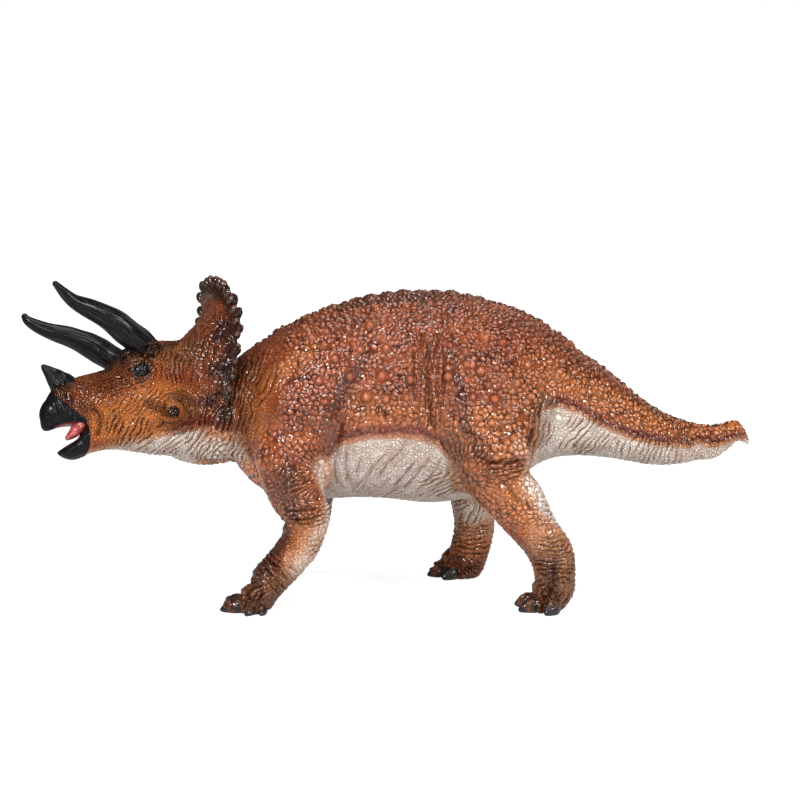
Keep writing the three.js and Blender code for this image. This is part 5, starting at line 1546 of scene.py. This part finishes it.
KNOBS = 25
KNOB_ARC = 118  # degrees each way from the frill's top
knob_seats = []
for k in range(KNOBS):
    turn = math.radians(KNOB_ARC * (2 * k / (KNOBS - 1) - 1))
    forward = 0.57 + 1.2 * (1 - math.cos(turn)) ** 3
    reach = 1.6 * max(0, -math.sin(turn)) - 1.0 * max(0, math.sin(turn))
    corner = 1.8 * math.exp(-(((math.degrees(turn) + 20) / 14) ** 2))
    place = in_head(forward + 0.3 * corner, (18.6 + reach + corner) * math.sin(turn),
                    9.6 + (20.8 + 0.7 * reach + corner) * math.cos(turn))
    nearest = skin_tree.find_nearest(place)[0]
    outward_way = (HEAD_LEFT * math.sin(turn) + HEAD_UP * math.cos(turn)).normalized()
    around_way = (HEAD_LEFT * math.cos(turn) - HEAD_UP * math.sin(turn)).normalized()
    near_side = max(0, math.sin(turn))
    gap = place - nearest
    seat = nearest + gap.normalized() * min(0.6 * gap.length, 0.9) + outward_way * (0.2 - 0.7 * near_side)
    knob_seats.append((seat, around_way, outward_way, 1 - 0.12 * near_side))
knob_paint, tree, spot = new_paint("knob_brown")
tone = mixed(tree, patches_of(tree, spot, 0.7, 0.35, 0.7), srgb(26, 14, 11), srgb(84, 42, 28))
end_paint(tree, tone, noise(tree, spot, 2.5), 0.3, 0.0002, {
    "Roughness": 0.3, "Specular IOR Level": 0.3, "Coat Weight": 0.9, "Coat Roughness": 0.07})
knobs = lumps_on("frill_knobs", knob_seats, {"Length": 2.2, "Width": 2.2, "Height": 3.5, "Grain": 0.0,
                                             "Unevenness": 0.12, "Material": knob_paint})
finished("frill_knobs", knobs, knob_paint)


# The scales of the eyelids: a ring of small lumps round each eye, of the same vinyl and paint as the knobs.
# They are moulded with the head.
LID_SCALES = 17
LID_RADIUS = 2.5
lid_seats = []
for place, outward, depth in eyes.values():
    for k in range(LID_SCALES):
        turn = 2 * math.pi * k / LID_SCALES
        outward_way = HEAD_AHEAD * math.cos(turn) + HEAD_UP * math.sin(turn)
        seat = skin_tree.find_nearest(place + outward_way * (LID_RADIUS + 0.15 * (k % 2)))[0]
        around_way = HEAD_UP * math.cos(turn) - HEAD_AHEAD * math.sin(turn)
        lid_seats.append((seat, around_way, outward, 1.0))
lids = lumps_on("lid_scales", lid_seats, {"Length": 0.85, "Width": 0.75, "Height": 0.7, "Grain": 0.0,
                                          "Fineness": 3, "Unevenness": 0.2, "Material": knob_paint})
finished("lid_scales", lids, knob_paint)


# The plates of the ridge: low bosses along the middle of the back and tail, closer and smaller towards the
# ends. They are moulded with the hide and painted as it is, a little darker.
RIDGE_PLATES = [
    # place along X and the length of the plates there
    (-33, 1.7), (-21, 2.3), (-11, 3.6), (-6, 4.7), (13, 4.5), (23, 3.2), (33, 2.5), (53, 2.1), (73, 1.5),
    (86, 1.0),
]
FULL_PLATE = 4.5  # the length at which a plate has its full size
PLATE_STEP = 0.88  # of its length, to the next one
skin_tree = BVHTree.FromPolygons(points.tolist(), quads.tolist())


def on_ridge(x):
    """The highest place of the body or tail at a distance along X."""
    around = points[np.abs(points[:, 0] - x) < 0.8]
    top = around[around[:, 2] > around[:, 2].max() - 3]
    return skin_tree.ray_cast(Vector((x, top[:, 1].mean(), 100)), Vector((0, 0, -1)))[:2]


plate_seats = []
plate_at = RIDGE_PLATES[0][0]
while plate_at < RIDGE_PLATES[-1][0]:
    long = np.interp(plate_at, *zip(*RIDGE_PLATES))
    seat, facing_way = on_ridge(plate_at)
    along_way = (on_ridge(plate_at + long)[0] - seat).normalized()
    outward_way = (facing_way - along_way * facing_way.dot(along_way)).normalized()
    plate_seats.append((seat - outward_way * (0.02 + 0.19 * long), along_way, outward_way, long / FULL_PLATE))
    plate_at += PLATE_STEP * long
plates = lumps_on("ridge_plates", plate_seats, {"Length": 4.9, "Width": 6.0, "Height": 3.0, "Grain": 0.45,
                                                "Unevenness": 0.12, "Material": hide_paint})
for name in PAINT_VALUES:
    keep(plates, name, np.full(len(plates.vertices), 0.75 if name == "umber" else 0.0))
finished("ridge_plates", plates, hide_paint)
